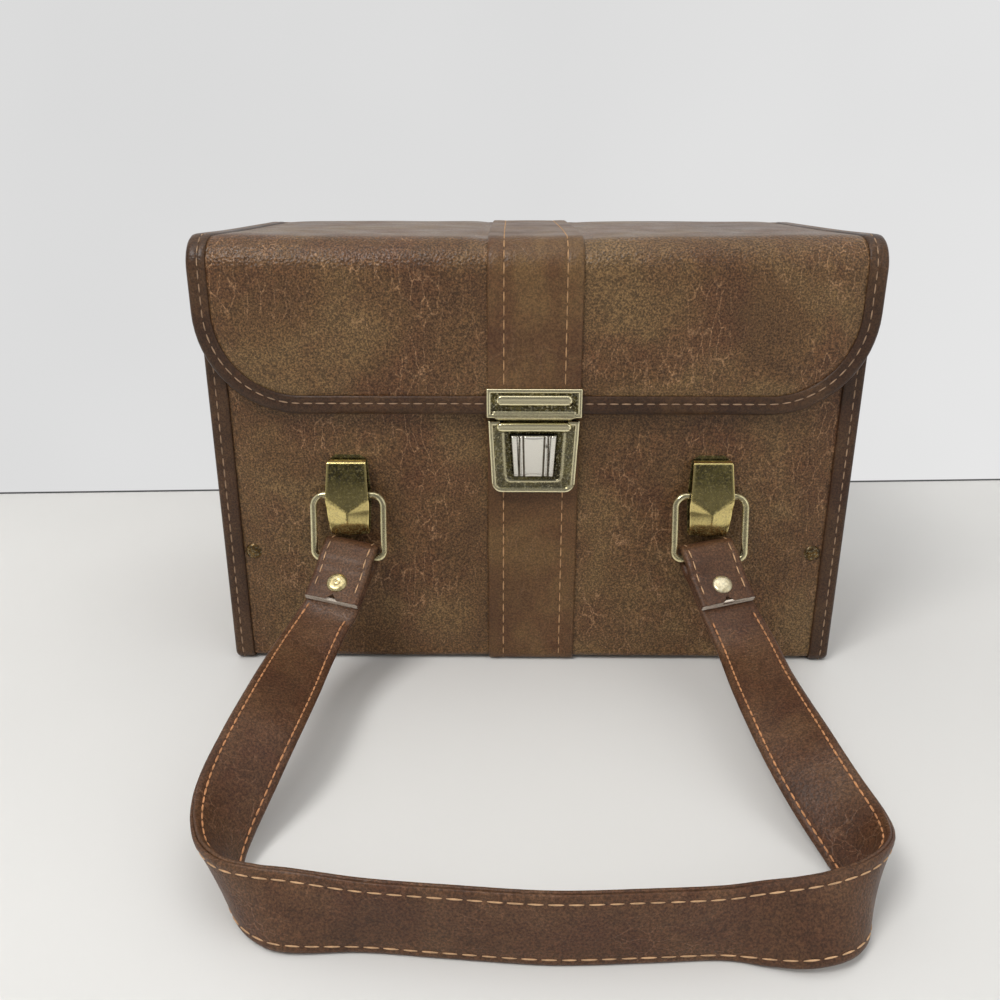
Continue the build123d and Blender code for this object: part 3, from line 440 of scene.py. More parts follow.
def stageMaterial(name, tone, backdrop):
    # the floor keeps the shadow; camera and reflections see the wall's own tone, unlit,
    # with a painted brightening to the right and a painted shadow line at its foot; the wall is clear from
    # behind
    material, tree, place = startMaterial(name)
    patch = rampOf(tree, noiseOf(tree, place, 260, 3, 0.5), [(0.3, 0.975), (0.7, 1.02)])
    if backdrop:
        split = addNode(tree, "ShaderNodeSeparateXYZ", Vector=place)
        # rise is painted light: the wall brightens towards the right
        rise = addNode(tree, "ShaderNodeMapRange", Value=split.outputs["X"], i1=0.02, i2=0.3, i3=1.0, i4=1.09)
        # painted shadow: a dark line along the wall's foot where it meets the floor
        paintedJointShadow = addNode(tree, "ShaderNodeMapRange", Value=split.outputs["Z"], i1=0.0009, i2=0.0013, i3=0.12,
                        i4=1.0)
        for band in (rise, paintedJointShadow):
            patch = mathOf(tree, "MULTIPLY", patch, band.outputs[0])
    colour = mixOf(tree, 1.0, tone, patch, "MULTIPLY")
    shader = addNode(tree, "ShaderNodeBsdfPrincipled", Base_Color=colour, Roughness=0.6)
    if backdrop:
        path = tree.nodes.new("ShaderNodeLightPath")
        seen = mathOf(tree, "MAXIMUM", path.outputs["Is Camera Ray"], path.outputs["Is Glossy Ray"])
        behind = tree.nodes.new("ShaderNodeNewGeometry").outputs["Backfacing"]
        glow = addNode(tree, "ShaderNodeEmission", Color=colour, Strength=1.0)
        clear = tree.nodes.new("ShaderNodeBsdfTransparent")
        for share, other in ((seen, glow), (behind, clear)):
            shader = addNode(tree, "ShaderNodeMixShader", i0=share, i1=shader.outputs[0], i2=other.outputs[0])
    addNode(tree, "ShaderNodeOutputMaterial", Surface=shader.outputs[0])
    return material


def stagePlane(name, corners, material):
    plane = makeObject(name, corners, [(0, 1, 2, 3)], [material], smooth=False)
    return plane


# the wall stands a little turned behind the case
stageSize = {"reach": 3000, "depth": 2500, "below": -20, "wallLeft": (-3000, 6), "wallRight": (3000, 320)}
reach, depth, below = stageSize["reach"], stageSize["depth"], stageSize["below"]
wallLeft, wallRight = stageSize["wallLeft"], stageSize["wallRight"]
stagePlane("floor", [(-reach, -depth, 0), (reach, -depth, 0), (reach, depth, 0), (-reach, depth, 0)],
           stageMaterial("floorPale", srgb(222, 221, 218), False))
stagePlane("wall", [(*wallLeft, below), (*wallRight, below), (*wallRight, depth), (*wallLeft, depth)],
           stageMaterial("wallPale", srgb(221, 221, 221), True))
lights = [("key", (-520, -720, 1150), 420, 8.6, (1.0, 0.99, 0.975)),
          ("fill", (900, -900, 700), 900, 2.4, (0.98, 0.99, 1.0)),
          ("top", (60, -60, 1300), 1000, 4.2, (1, 1, 1))]
lampAim = Vector((0, -40, 80))
for lightName, place, size, power, tone in lights:
    lightData = bpy.data.lights.new(lightName, "AREA")
    lightData.size = size * mm
    lightData.energy = power
    lightData.color = tone
    lamp = bpy.data.objects.new(lightName, lightData)
    lamp.location = [c * mm for c in place]
    lamp.rotation_euler = (lampAim * mm - lamp.location).to_track_quat("-Z", "Y").to_euler()
    scene.collection.objects.link(lamp)
world = bpy.data.worlds.new("world")
world.use_nodes = True
worldLook = {"tone": (1.0, 1.0, 1.0, 1), "seen": 0.22, "lighting": 0.5}
background = world.node_tree.nodes["Background"]
background.inputs[0].default_value = worldLook["tone"]
seen = world.node_tree.nodes.new("ShaderNodeLightPath").outputs["Is Camera Ray"]
seen = mathOf(world.node_tree, "MULTIPLY", seen, worldLook["seen"])
world.node_tree.links.new(mathOf(world.node_tree, "ADD", seen, worldLook["lighting"]), background.inputs[1])
scene.world = world
print("camera, light and stage made")


# The body's side view: stations from the rim down the front, along the bottom and up the back

def rimHeight(y):
    return case["rim"] + case["roofRise"] / case["roofRun"] * (case["back"] - y)


tray = {"low": 82.0, "high": 105.0, "coverHalf": 13.5, "stripHalf": 13.2}  # opening behind the lock
hinge = {"low": 150.2, "high": 171.0, "half": 125}
frontRows = sorted(set(spread(case["foot"], tray["low"], 40) + spread(tray["low"], tray["high"], 12) +
                       spread(tray["high"], rimHeight(case["front"]), 30)), reverse=True)
bodyStations = [(kind, value) for kind, values in (
    ("front", frontRows), ("frontArc", spread(180, 270, 7)), ("bottom", spread(-56, 56, 29)),
    ("backArc", spread(270, 360, 7)), ("back", spread(case["foot"], case["rim"], 60))) for value in values]
tapeStations = [s for s in bodyStations if not (s[0] == "back" and s[1] > hinge["low"])]


def overTray(stations, columns, half):
    def skip(row, column):
        (kind, z), (nextKind, nextZ) = stations[row], stations[row + 1]
        x = (columns[column] + columns[column + 1]) / 2
        return kind == nextKind == "front" and tray["low"] < (z + nextZ) / 2 < tray["high"] and abs(x) < half
    return skip


def bodyPoint(x, station, n):
    kind, value = station
    radius = max(case["corner"] + n, 0.3)
    low = case["trim"] - n + radius
    if kind == "front":
        return (x, case["front"] - n, max(value, low))
    if kind == "back":
        return (x, case["back"] + n, max(value, low))
    if kind == "bottom":
        return (x, value, case["trim"] - n)
    angle = math.radians(value)
    middle = case["front"] - n + radius if kind == "frontArc" else case["back"] + n - radius
    return (x, middle + radius * math.cos(angle), low + radius * math.sin(angle))


def padRise(x, station):
    # soft crown of the covering between the centre strip and the binding
    across = min(abs(x) - case["stripHalf"], 117.2 - abs(x))
    if across <= 0:
        return -0.05
    kind, value = station
    level = {"front": 0.75, "back": 0.7, "bottom": 0.25}.get(kind, 0.2)
    if kind == "front":
        level *= smoothStep((value - 2) / 14)
    if kind == "back":
        level *= smoothStep((value - 2) / 14) * smoothStep((152 - value) / 12)
    y = case["front"] if "front" in kind else case["back"]
    swell = level * swellOf(across, 4.5)
    return swell + 0.22 * rough(x, y, value, 34, 3.1) * min(across / 10, 1)


bodyColumns = sorted(set(spread(-119, -18.2, 62) + spread(-17.7, -13.5, 5) + spread(-13.5, 13.5, 15) +
                         spread(13.5, 17.7, 5) + spread(18.2, 119, 62)))
bodyCovering = sheetOf("bodyCovering", gridOf(bodyStations, bodyColumns),
                       lambda x, s: bodyPoint(x, s, padRise(x, s)),
                       lambda x, s: bodyPoint(x, s, -case["board"]), [vinyl, liningCloth],
                       overTray(bodyStations, bodyColumns, tray["coverHalf"]))
dress(bodyCovering, "case", "covering", "front_panel", "back_panel", "bottom_panel")

# End walls, their covering slightly crowned inside the binding
endWall = {"half": 57.4, "foot": 4.8, "outer": 123.75, "inner": 120.3}


def endOuter(y, z, sign):
    edge = min(54.2 - abs(y), z - 9.2)
    rise = 0.8 * swellOf(edge, 5) * smoothStep((168 - z) / 12)
    rise += 0.25 * rough(sign * 90, y, z, 34, 7.7) * min(max(edge, 0) / 10, 1)
    return (sign * (endWall["outer"] + rise), y, z)


for side, sign in sides:
    places = [[(y, endWall["foot"] + level * (rimHeight(y) - endWall["foot"]))
               for y in spread(-endWall["half"], endWall["half"], 60)] for level in spread(0, 1, 70)]
    panel = sheetOf(f"endWall_{side}", places, lambda y, z: endOuter(y, z, sign),
                    lambda y, z: (sign * endWall["inner"], y, z), [vinyl, liningCloth])
    dress(panel, "case", "covering", f"end_panel_{side}")
print("body covering made")
# Binding tape folded round each end of the body
tapeSection = [(117.0, 0.02), (117.0, 0.55), (117.25, 0.95), (117.8, 1.12), (119.5, 1.16), (121.0, 1.08),
               (121.5, 0.92), (122.0, 1.08), (123.0, 1.12), (124.0, 0.9), (124.65, 0.35), (124.95, -0.5),
               (125.0, -2.2), (124.85, -3.6), (124.7, -4.0), (124.85, -4.4), (125.0, -5.6), (124.9, -6.3),
               (124.5, -6.7), (123.85, -6.75), (123.85, -0.1)]
for side, sign in sides:
    rings = [[bodyPoint(sign * x, s, n) for x, n in tapeSection] for s in tapeStations]
    dress(sweep(f"bodyBinding_{side}", rings, [tape]), "case", "binding", f"body_binding_{side}")
# Centre strip down the front, underneath and up the back
stripProfile = [(17.7, 0.08), (17.68, 0.6), (17.4, 0.98), (16.8, 1.16), (15.0, 1.2), (13.0, 1.12),
                (12.1, 1.05), (11.6, 0.82), (11.1, 1.0), (9.5, 1.04), (5.0, 1.08)]
stripAcross = [(-x, n) for x, n in stripProfile] + [(0, 1.1)] + [(x, n) for x, n in reversed(stripProfile)]
bodyStrip = sheetOf("bodyStrip", gridOf(tapeStations, stripAcross), lambda c, s: bodyPoint(c[0], s, c[1]),
                    lambda c, s: bodyPoint(c[0], s, 0.0), [stripVinyl],
                    overTray(tapeStations, [x for x, n in stripAcross], tray["stripHalf"]))
dress(bodyStrip, "case", "binding", "body_strip")
print("binding and centre strip made")
# The lid's course from the hinge over the top and down the flap: u is the distance along it

slope = math.atan2(case["crest"] - case["height"], case["back"] - lid["flapFront"])
turn = math.pi / 2 + slope
foldReach = lid["foldRadius"] * math.tan(turn / 2)
topRun = math.hypot(case["back"] - lid["flapFront"], case["crest"] - case["height"]) - foldReach
foldRun = lid["foldRadius"] * turn
flapTop = case["crest"] - foldReach
lidLength = topRun + foldRun + flapTop - lid["flapBottom"]
foldMiddle = Vector((case["back"] - topRun * math.cos(slope) - lid["foldRadius"] * math.sin(slope),
                     case["height"] + topRun * math.sin(slope) - lid["foldRadius"] * math.cos(slope)))


def lidPoint(x, u, n):
    if u < topRun:
        out = (-math.sin(slope), math.cos(slope))
        base = (case["back"] - u * math.cos(slope), case["height"] + u * math.sin(slope))
    elif u < topRun + foldRun:
        angle = math.pi / 2 + slope + (u - topRun) / lid["foldRadius"]
        out = (math.cos(angle), math.sin(angle))
        base = (foldMiddle[0] + lid["foldRadius"] * out[0], foldMiddle[1] + lid["foldRadius"] * out[1])
    else:
        out = (-1.0, 0.0)
        base = (lid["flapFront"], flapTop - (u - topRun - foldRun))
    share = min(max((n + lid["thickness"]) / lid["thickness"], 0), 1)
    near = bell(u - topRun - 8, 30)
    sag = share * near * (-0.9 + 1.5 * (x / 126.5) ** 2)
    return (x, base[0] + out[0] * n, base[1] + out[1] * n + sag)


lidRows = sorted(set(spread(0, topRun, 56) + spread(topRun, topRun + foldRun, 14) +
                     spread(topRun + foldRun, lidLength - lid["cornerRadius"], 12)))


def lidHalf(u, inset):  # half width of the outline drawn in by inset
    reach = lidLength - inset
    radius = lid["cornerRadius"] - inset
    side = lid["halfWidth"] - inset
    below = u - (reach - radius)
    if below <= 0:
        return side
    return side - radius + math.sqrt(max(radius ** 2 - below ** 2, 0))


def lidEdge(x, u):  # distance in from the outline
    radius = lid["cornerRadius"]
    dx = lid["halfWidth"] - abs(x)
    du = lidLength - u
    if dx < radius and du < radius:
        return radius - math.hypot(radius - dx, radius - du)
    return min(dx, du)


def lidOutline(inset):
    radius = lid["cornerRadius"] - inset
    side = lid["halfWidth"] - inset
    reach = lidLength - inset
    left = [(-side, u) for u in lidRows]
    arc = [(-side + radius - radius * math.cos(a), reach - radius + radius * math.sin(a))
           for a in spread(0, math.pi / 2, 18)[1:]]
    bottom = [(x, reach) for x in spread(-(side - radius), side - radius, 70)[1:-1]]
    course = left + arc + bottom
    return course + [(-x, u) for x, u in reversed(left + arc)]


coverInset = 1.0
cornerRows = [lidLength - lid["cornerRadius"] + (lid["cornerRadius"] - coverInset) * math.sin(a)
              for a in spread(0, math.pi / 2, 26)[1:]]


def coverRise(x, u):
    inside, across = lidEdge(x, u), abs(x) - lid["stripHalf"]
    rise = -1.15 + 0.75 * smoothStep((inside - 6.2) / 1.6)
    rise += 0.85 * swellOf(inside - 7.6, 5) * swellOf(across, 5)
    if across > 0:
        rise += 0.35 * rough(x, u, 5, 30, 1.3) * min(max(inside - 8, 0) / 8, 1) * min(across / 6, 1)
    return rise


def coverUnder(x, u):  # thinner where the tape is folded round and where the hasp is riveted
    inside = lidEdge(x, u)
    if abs(x) < 16.2 and inside < 9.6:
        return -3.55
    return -3.25 if inside < 7.6 else -lid["thickness"]


places = [[(lidHalf(u, coverInset) * t, u) for t in spread(-1, 1, 121)] for u in lidRows + cornerRows]
lidCovering = sheetOf("lidCovering", places, lambda x, u: lidPoint(x, u, coverRise(x, u)),
                      lambda x, u: lidPoint(x, u, coverUnder(x, u)), [vinyl, liningCloth])
dress(lidCovering, "lid", "covering", "lid_panel")
# Tape folded round the lid's edge
lidTape = [(7.4, -1.0), (7.4, -0.35), (7.2, 0.02), (6.6, 0.2), (5.4, 0.24), (4.9, 0.14), (4.5, -0.04),
           (4.1, 0.12), (3.4, 0.2), (2.0, 0.16), (0.9, -0.15), (0.25, -0.8), (0.0, -1.8), (0.0, -2.8),
           (0.3, -3.7), (1.0, -4.25), (2.0, -4.4), (7.8, -4.4), (7.8, -3.2), (1.1, -3.2), (1.1, -1.2)]
courses = [[lidPoint(x, u, n) for x, u in lidOutline(inset)] for inset, n in lidTape]
dress(sweep("lidBinding", list(zip(*courses)), [tape]), "lid", "binding", "lid_binding")

# Centre strip on the lid
stripRows = sorted(set(lidRows + spread(lidLength - lid["cornerRadius"], lidLength - 0.1, 24)))
shrink = {"across": lid["stripHalf"] / case["stripHalf"], "rise": 0.85}
lidStrip = sheetOf("lidStrip", gridOf(stripRows, stripAcross),
                   lambda c, u: lidPoint(c[0] * shrink["across"], u, c[1] * shrink["rise"]),
                   lambda c, u: lidPoint(c[0] * shrink["across"], u, -1.0), [stripVinyl])
dress(lidStrip, "lid", "binding", "lid_strip")


# Vinyl hinge from the lid's rear edge down the back

def hingeOut(x, z):
    edge = smoothStep((hinge["high"] - z) / 1.2)
    return (x, case["back"] + 0.2 + (0.75 + 0.1 * rough(x, 0, z, 18, 4)) * edge, z)


hingeGrid = gridOf(spread(hinge["low"], hinge["high"], 30), spread(-hinge["half"], hinge["half"], 90))
hingeVinyl = sheetOf("hingeVinyl", hingeGrid, hingeOut, lambda x, z: (x, case["back"] + 0.02, z), [vinyl])
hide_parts("hinge_strip")
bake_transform(hingeVinyl)
print("lid made")
# Strap: two plies that follow the course, each end looped round a ring

strap = {"width": 23.0, "loopWidth": 21.2, "ply": 1.6, "eye": 1.75, "stretch": 2.5, "close": 9.0, "tab": 21.0,
         "join": 22.0, "lean": 53.7, "skew": 13.0, "bar": (-71.0, 51.0)}
clipMiddles = (("left", -72.5), ("right", 69.5))
strapCourse = [
    (-80.7, -93.5, 33.2, -0.99, 0.10, 0.10), (-84.2, -110.0, 29.4, -0.96, 0.05, 0.26),
    (-85.6, -129.0, 28.6, -0.92, 0.05, 0.38), (-87.3, -147.3, 27.2, -0.91, 0.06, 0.42),
    (-88.8, -156.2, 25.2, -0.89, 0.04, 0.45), (-90.6, -164.7, 22.2, -0.86, -0.02, 0.51),
    (-92.4, -172.7, 18.7, -0.78, -0.11, 0.61), (-93.5, -181.0, 15.6, -0.65, -0.21, 0.74),
    (-93.2, -189.6, 13.3, -0.47, -0.28, 0.83), (-90.6, -199.0, 12.0, -0.30, -0.20, 0.93),
    (-85.0, -207.0, 11.7, -0.13, -0.08, 0.99), (-76.7, -212.3, 11.9, 0.01, 0.11, 0.99),
    (-67.3, -214.8, 12.0, 0.05, 0.22, 0.97), (-48.0, -216.0, 11.7, 0.00, 0.02, 1.00),
    (-24.0, -218.0, 11.6, 0.00, 0.00, 1.00), (2.0, -219.8, 11.6, 0.00, 0.00, 1.00),
    (27.0, -218.8, 11.6, 0.00, 0.00, 1.00), (47.0, -217.6, 11.6, 0.00, 0.02, 1.00),
    (58.0, -218.0, 12.1, -0.05, 0.22, 0.97), (67.8, -218.3, 12.8, -0.10, 0.38, 0.92),
    (77.5, -216.2, 13.3, -0.14, 0.36, 0.92), (85.5, -210.7, 12.7, -0.04, 0.23, 0.97),
    (90.7, -202.7, 11.8, 0.18, 0.06, 0.98), (92.9, -193.4, 11.5, 0.48, -0.03, 0.87),
    (92.1, -183.8, 12.3, 0.68, -0.01, 0.72), (89.4, -174.8, 14.8, 0.79, 0.04, 0.61),
    (86.5, -166.2, 18.0, 0.84, 0.07, 0.54), (84.2, -157.1, 20.8, 0.88, 0.07, 0.46),
    (81.6, -138.4, 23.9, 0.97, 0.07, 0.23), (79.9, -119.7, 26.3, 0.99, 0.06, 0.16),
    (78.6, -103.0, 29.6, 0.97, 0.06, 0.20)]


def endFrame(sign):  # origin on the low bar, away from the ring, upper side, across
    lean, skew = math.radians(strap["lean"]), math.radians(strap["skew"])
    flat = math.cos(skew)
    along = Vector((sign * math.sin(skew), -flat * math.sin(lean), -flat * math.cos(lean)))
    upper = Vector((0, -math.cos(lean), math.sin(lean)))
    across = along.cross(upper).normalized()
    upper = across.cross(along)
    origin = Vector((clipMiddles[sign > 0][1], *strap["bar"]))
    return origin, along, upper, across


def loopCourse(offset):
    # edge view of a looped end at a ply's middle: (away from the ring, to the upper side)
    stretch = strap["stretch"]

    def height(a):
        return offset + strap["eye"] * (1 - smoothStep((a - stretch) / (strap["close"] - stretch)))
    reach = strap["eye"] + offset
    upper = [(a, height(a)) for a in spread(strap["tab"], -stretch, 34)]
    turn = [(-stretch - reach * math.sin(a), reach * math.cos(a)) for a in spread(0, math.pi, 20)[1:-1]]
    lower = [(a, -height(a)) for a in spread(-stretch, strap["join"], 35)]
    return upper + turn + lower


def crossSpline(values, perSpan):  # Catmull-Rom through vectors
    result = []
    for i in range(len(values) - 1):
        p0, p1, p2 = values[max(i - 1, 0)], values[i], values[i + 1]
        p3 = values[min(i + 2, len(values) - 1)]
        for k in range(perSpan):
            t = k / perSpan
            result.append(0.5 * (2 * p1 + (p2 - p0) * t + (2 * p0 - 5 * p1 + 4 * p2 - p3) * t * t +
                                 (3 * p1 - p0 - 3 * p2 + p3) * t ** 3))
    return result + [values[-1]]


def plyCourse(offset):
    # middle line of a ply from tab end to tab end: list of (point, across, width)
    loops, joins = [], []
    for side, sign in sides:
        origin, along, upper, across = endFrame(sign)
        turned = across if sign < 0 else -across
        loops.append([(origin + along * a + upper * b, turned, strap["loopWidth"])
                      for a, b in loopCourse(offset)])
        join = origin + along * strap["join"] - upper * strap["ply"]
        # a point before each end keeps the run in line with the loops
        joins.append([(join - along * 6, turned), (join, turned)])
    course = joins[0] + [(Vector(row[:3]), Vector(row[3:])) for row in strapCourse] + joins[1][::-1]
    lines, uppers = (crossSpline(values, 7) for values in zip(*course))
    free = []
    for i in range(8, len(lines) - 8):
        along = (lines[i + 1] - lines[i - 1]).normalized()
        across = (uppers[i] - along * uppers[i].dot(along)).normalized()
        share = min((i - 7) / 24, (len(lines) - 8 - i) / 24, 1)
        width = strap["loopWidth"] + (strap["width"] - strap["loopWidth"]) * smoothStep(share)
        free.append((lines[i] + along.cross(across) * (offset - strap["ply"]), across, width))
    return loops[0] + free + loops[1][::-1]


crownShares = mirrored([0.1, 0.2, 0.4, 0.6, 0.74, 0.785, 0.83, 0.89, 0.95, 0.985, 1.0])
underShares = mirrored([0.1, 0.2, 0.5, 0.93, 0.985])[::-1]
plyLook = {"edge": 1.3, "drop": 0.62, "groove": 0.2, "seam": 2.45, "crown": 0.2, "vDepth": 2.6, "vHalf": 2.1}


def plyRings(course, face):
    # face is 1 for the outer ply, -1 for the inner one: the crowned, grooved side
    last = len(course) - 1
    rings, frames = [], []
    for i, (point, across, width) in enumerate(course):
        along = (course[min(i + 1, last)][0] - course[max(i - 1, 0)][0]).normalized()
        across = (across - along * across.dot(along)).normalized()
        normal = along.cross(across)
        half, thick = width / 2, strap["ply"] / 2
        shape = []
        for share in crownShares:
            edge = (1 - abs(share)) * half
            drop = plyLook["drop"] * roundOff(edge, plyLook["edge"])
            groove = plyLook["groove"] * bell(edge - plyLook["seam"], 0.5)
            crown = plyLook["crown"] * (1 - share * share)
            shape.append((share * half, face * (thick - drop - groove + crown - 0.1)))
        for share in underShares:
            edge = (1 - abs(share)) * half
            shape.append((share * half, -face * (thick - 0.3 * roundOff(edge, 0.8) - 0.02)))
        # a V is cut in both ends of the outer ply
        cut = {0: plyLook["vDepth"], last: -plyLook["vDepth"]}.get(i, 0.0) if face > 0 else 0.0
        ring = []
        for s, q in shape:
            shift = cut * max(1 - abs(s) / plyLook["vHalf"], 0)
            ring.append(tuple(point + across * s + normal * q + along * shift))
        rings.append(ring)
        frames.append((point, across, normal, width))
    return rings, frames


plyFrames = {}
for layer, offset, face in (("Outer", 1.5, 1), ("Inner", 0.5, -1)):
    rings, plyFrames[layer] = plyRings(plyCourse(offset * strap["ply"]), face)
    ply = sweep(f"strap{layer}Ply", rings, [strapLeather, cutEdge])
    for polygon in ply.data.polygons:
        if len(polygon.vertices) > 4:  # the cut ends
            polygon.material_index = 1
            polygon.use_smooth = False
    dress(ply, "strap", "strap", f"strap_{layer.lower()}_ply")
print("strap made")


# Stitches: a Geometry Nodes tree that sets one bent thread after another along a line

def stitchTree():
    tree = bpy.data.node_groups.new("stitchRow", "GeometryNodeTree")
    face = tree.interface
    face.new_socket("Geometry", in_out="INPUT", socket_type="NodeSocketGeometry")
    for name, value in (("Pitch", 0.0046), ("Length", 0.0034), ("Thickness", 0.0004), ("Unevenness", 0.08)):
        face.new_socket(name, in_out="INPUT", socket_type="NodeSocketFloat").default_value = value
    face.new_socket("Seed", in_out="INPUT", socket_type="NodeSocketInt").default_value = 3
    face.new_socket("Thread", in_out="INPUT", socket_type="NodeSocketMaterial")
    face.new_socket("Geometry", in_out="OUTPUT", socket_type="NodeSocketGeometry")
    given = tree.nodes.new("NodeGroupInput").outputs
    line = addNode(tree, "GeometryNodeResampleCurve", {"mode": "LENGTH"}, Curve=given["Geometry"],
                   Length=given["Pitch"])
    dots = addNode(tree, "GeometryNodeCurveToPoints", {"mode": "EVALUATED"}, Curve=line.outputs[0])
    bead = addNode(tree, "GeometryNodeMeshUVSphere", Segments=7, Rings=6, Radius=1.0)
    half = mathOf(tree, "MULTIPLY", given["Length"], 0.5)
    size = addNode(tree, "ShaderNodeCombineXYZ", X=given["Thickness"], Y=given["Thickness"], Z=half)
    vary = addNode(tree, "FunctionNodeRandomValue", {"data_type": "FLOAT"}, Seed=given["Seed"])
    floats = [s for s in vary.inputs if s.type == "VALUE"]
    for operation, socket in (("SUBTRACT", floats[0]), ("ADD", floats[1])):
        tree.links.new(mathOf(tree, operation, 1.0, given["Unevenness"]), socket)
    factor = [s for s in vary.outputs if s.type == "VALUE"][0]
    scaled = addNode(tree, "ShaderNodeVectorMath", {"operation": "SCALE"}, Vector=size.outputs[0],
                     Scale=factor)
    placed = addNode(tree, "GeometryNodeInstanceOnPoints", Points=dots.outputs[0], Instance=bead.outputs[0],
                     Rotation=dots.outputs["Rotation"], Scale=scaled.outputs[0])
    real = addNode(tree, "GeometryNodeRealizeInstances", Geometry=placed.outputs[0])
    shown = addNode(tree, "GeometryNodeSetMaterial", Geometry=real.outputs[0], Material=given["Thread"])
    tree.links.new(shown.outputs[0], tree.nodes.new("NodeGroupOutput").inputs[0])
    return tree


rowTree = stitchTree()
rowInputs = {item.name: item.identifier for item in rowTree.interface.items_tree if item.in_out == "INPUT"}


def trimmed(row, cut):  # shortened at both ends, so that the last stitches stay on their piece
    row = [Vector(place) for place in row]
    for end in range(2):
        left = cut
        while len(row) > 2 and (row[1] - row[0]).length <= left:
            left -= (row[1] - row[0]).length
            row.pop(0)
        row[0] = row[0] + (row[1] - row[0]).normalized() * left
        row.reverse()
    return row


def stitchRows(name, rows, body, slotName, thread, pitch, length, thickness, unevenness=0.08):
    curve = bpy.data.curves.new(name, "CURVE")
    curve.dimensions = "3D"
    lowest = thickness * (1 + unevenness)  # stitches under the case are let in, clear of the floor
    for row in rows:
        places = trimmed(row, length / 2 + 0.5)
        spline = curve.splines.new("POLY")
        spline.points.add(len(places) - 1)
        for point, place in zip(spline.points, places):
            point.co = (place.x * mm, place.y * mm, max(place.z, lowest) * mm, 1)
    source = bpy.data.objects.new(name + "Line", curve)
    scene.collection.objects.link(source)
    rowsModifier = source.modifiers.new("stitches", "NODES")
    rowsModifier.node_group = rowTree
    for key, value in (("Pitch", pitch * mm), ("Length", length * mm), ("Thickness", thickness * mm),
                       ("Unevenness", unevenness), ("Thread", thread)):
        rowsModifier[rowInputs[key]] = value
    bpy.context.view_layer.update()
    mesh = bpy.data.meshes.new_from_object(source.evaluated_get(bpy.context.evaluated_depsgraph_get()))
    bpy.data.objects.remove(source)
    bpy.data.curves.remove(curve)
    stitches = bpy.data.objects.new(name, mesh)
    for face in mesh.polygons:
        face.use_smooth = True
    scene.collection.objects.link(stitches)
    dress(stitches, body, slotName)


def bothSides(rowAt):
    return [rowAt(sign) for side, sign in sides]


edgeSew = {"pitch": 4.6, "length": 3.4, "thickness": 0.3}
bodyRows = [row for x, n in ((121.5, 0.98), (124.72, -4.0))
            for row in bothSides(lambda sign: [bodyPoint(sign * x, s, n) for s in tapeStations])]
stitchRows("bodyBindingStitches", bodyRows, "case", "binding", caseThread, **edgeSew)
lidSewn = [[lidPoint(x, u, n) for x, u in lidOutline(4.5)] for n in (0.02, -4.42)]
stitchRows("lidBindingStitches", lidSewn, "lid", "binding", caseThread, **edgeSew)
stripSew = {"pitch": 5.0, "length": 4.1, "thickness": 0.27}
sewnStations = [s for s in tapeStations if not (s[0] == "front" and 76 < s[1] < 107)]  # not under the lock
stitchRows("bodyStripStitches",
           bothSides(lambda sign: [bodyPoint(sign * 11.6, s, 0.9) for s in sewnStations]),
           "case", "binding", stripThread, **stripSew)
stitchRows("lidStripStitches",
           bothSides(lambda sign: [lidPoint(sign * 11.5, u, 0.74) for u in stripRows if u < lidLength - 10]),
           "lid", "binding", stripThread, **stripSew)


def strapRows(layer, lift, skipped):
    frames = plyFrames[layer][skipped:-skipped]
    return bothSides(lambda sign: [tuple(p + across * sign * (width / 2 - plyLook["seam"]) + normal * lift)
                                   for p, across, normal, width in frames])


faceLift = strap["ply"] / 2 - 0.1
stitchRows("strapFaceStitches", strapRows("Outer", faceLift, 6), "strap", "strap", strapThreadPale, pitch=5.2,
           length=4.2, thickness=0.27)
stitchRows("strapBackStitches", strapRows("Inner", -faceLift, 88), "strap", "strap", strapThread, pitch=3.0,
           length=2.7, thickness=0.36)
print("stitches made")


# Metal pieces

def setPolish(piece, polishAt):
    # polishAt takes a point in millimetres and gives 0 for tarnished to 1 for bright
    layer = piece.data.attributes.new("polish", "FLOAT", "POINT")
    layer.data.foreach_set("value", [min(max(polishAt(*(c / mm for c in v.co)), 0.0), 1.0)
                                     for v in piece.data.vertices])


def slantHalf(z, shape):  # half width of an upright trapezium at a height
    share = (shape["high"] - shape["low"]) * (z - shape["bottom"]) / (shape["top"] - shape["bottom"])
    return shape["low"] + share


def insideDistance(x, z, shape):  # distance in from its edge
    side, up, radius = slantHalf(z, shape) - abs(x), z - shape["bottom"], shape["corner"]
    if side < radius and up < radius:
        return radius - math.hypot(radius - side, radius - up)
    return min(side, up, shape["top"] - z)


def halfWidthAt(z, shape):  # its half width with the lower corners rounded
    below = shape["corner"] - (z - shape["bottom"])
    cut = shape["corner"] - math.sqrt(max(shape["corner"] ** 2 - below ** 2, 0)) if below > 0 else 0
    return slantHalf(z, shape) - cut


def barReach(x, z, bar):  # distance from a round-ended bar's middle line
    return math.hypot(max(abs(x) - bar["half"] + bar["radius"], 0), z - bar["middle"])


def barRise(reach, bar):
    share = min(reach / bar["radius"], 1)
    crown = bar["height"] * math.sqrt(max(1 - share ** 2.6, 0))
    return crown - 0.12 * bar["height"] * (1 - min(reach / (0.45 * bar["radius"]), 1))


lockShape = {"bottom": 77.0, "top": 105.8, "low": 16.0, "high": 17.5, "corner": 4.0}
frameShape = {"bottom": 81.6, "top": 104.0, "low": 10.8, "high": 12.0, "corner": 2.2}
windowShape = {"bottom": 83.75, "top": 100.45, "low": 7.73, "high": 8.87, "corner": 0.0}
lock = {"face": -66.4, "foot": -62.2, "rim": 1.9, "notchHalf": 13.0, "notchFoot": 101.4, "rise": 28.8}
lockBar = {"middle": 103.4, "half": 14.3, "radius": 1.8, "height": 1.35, "base": -66.85}


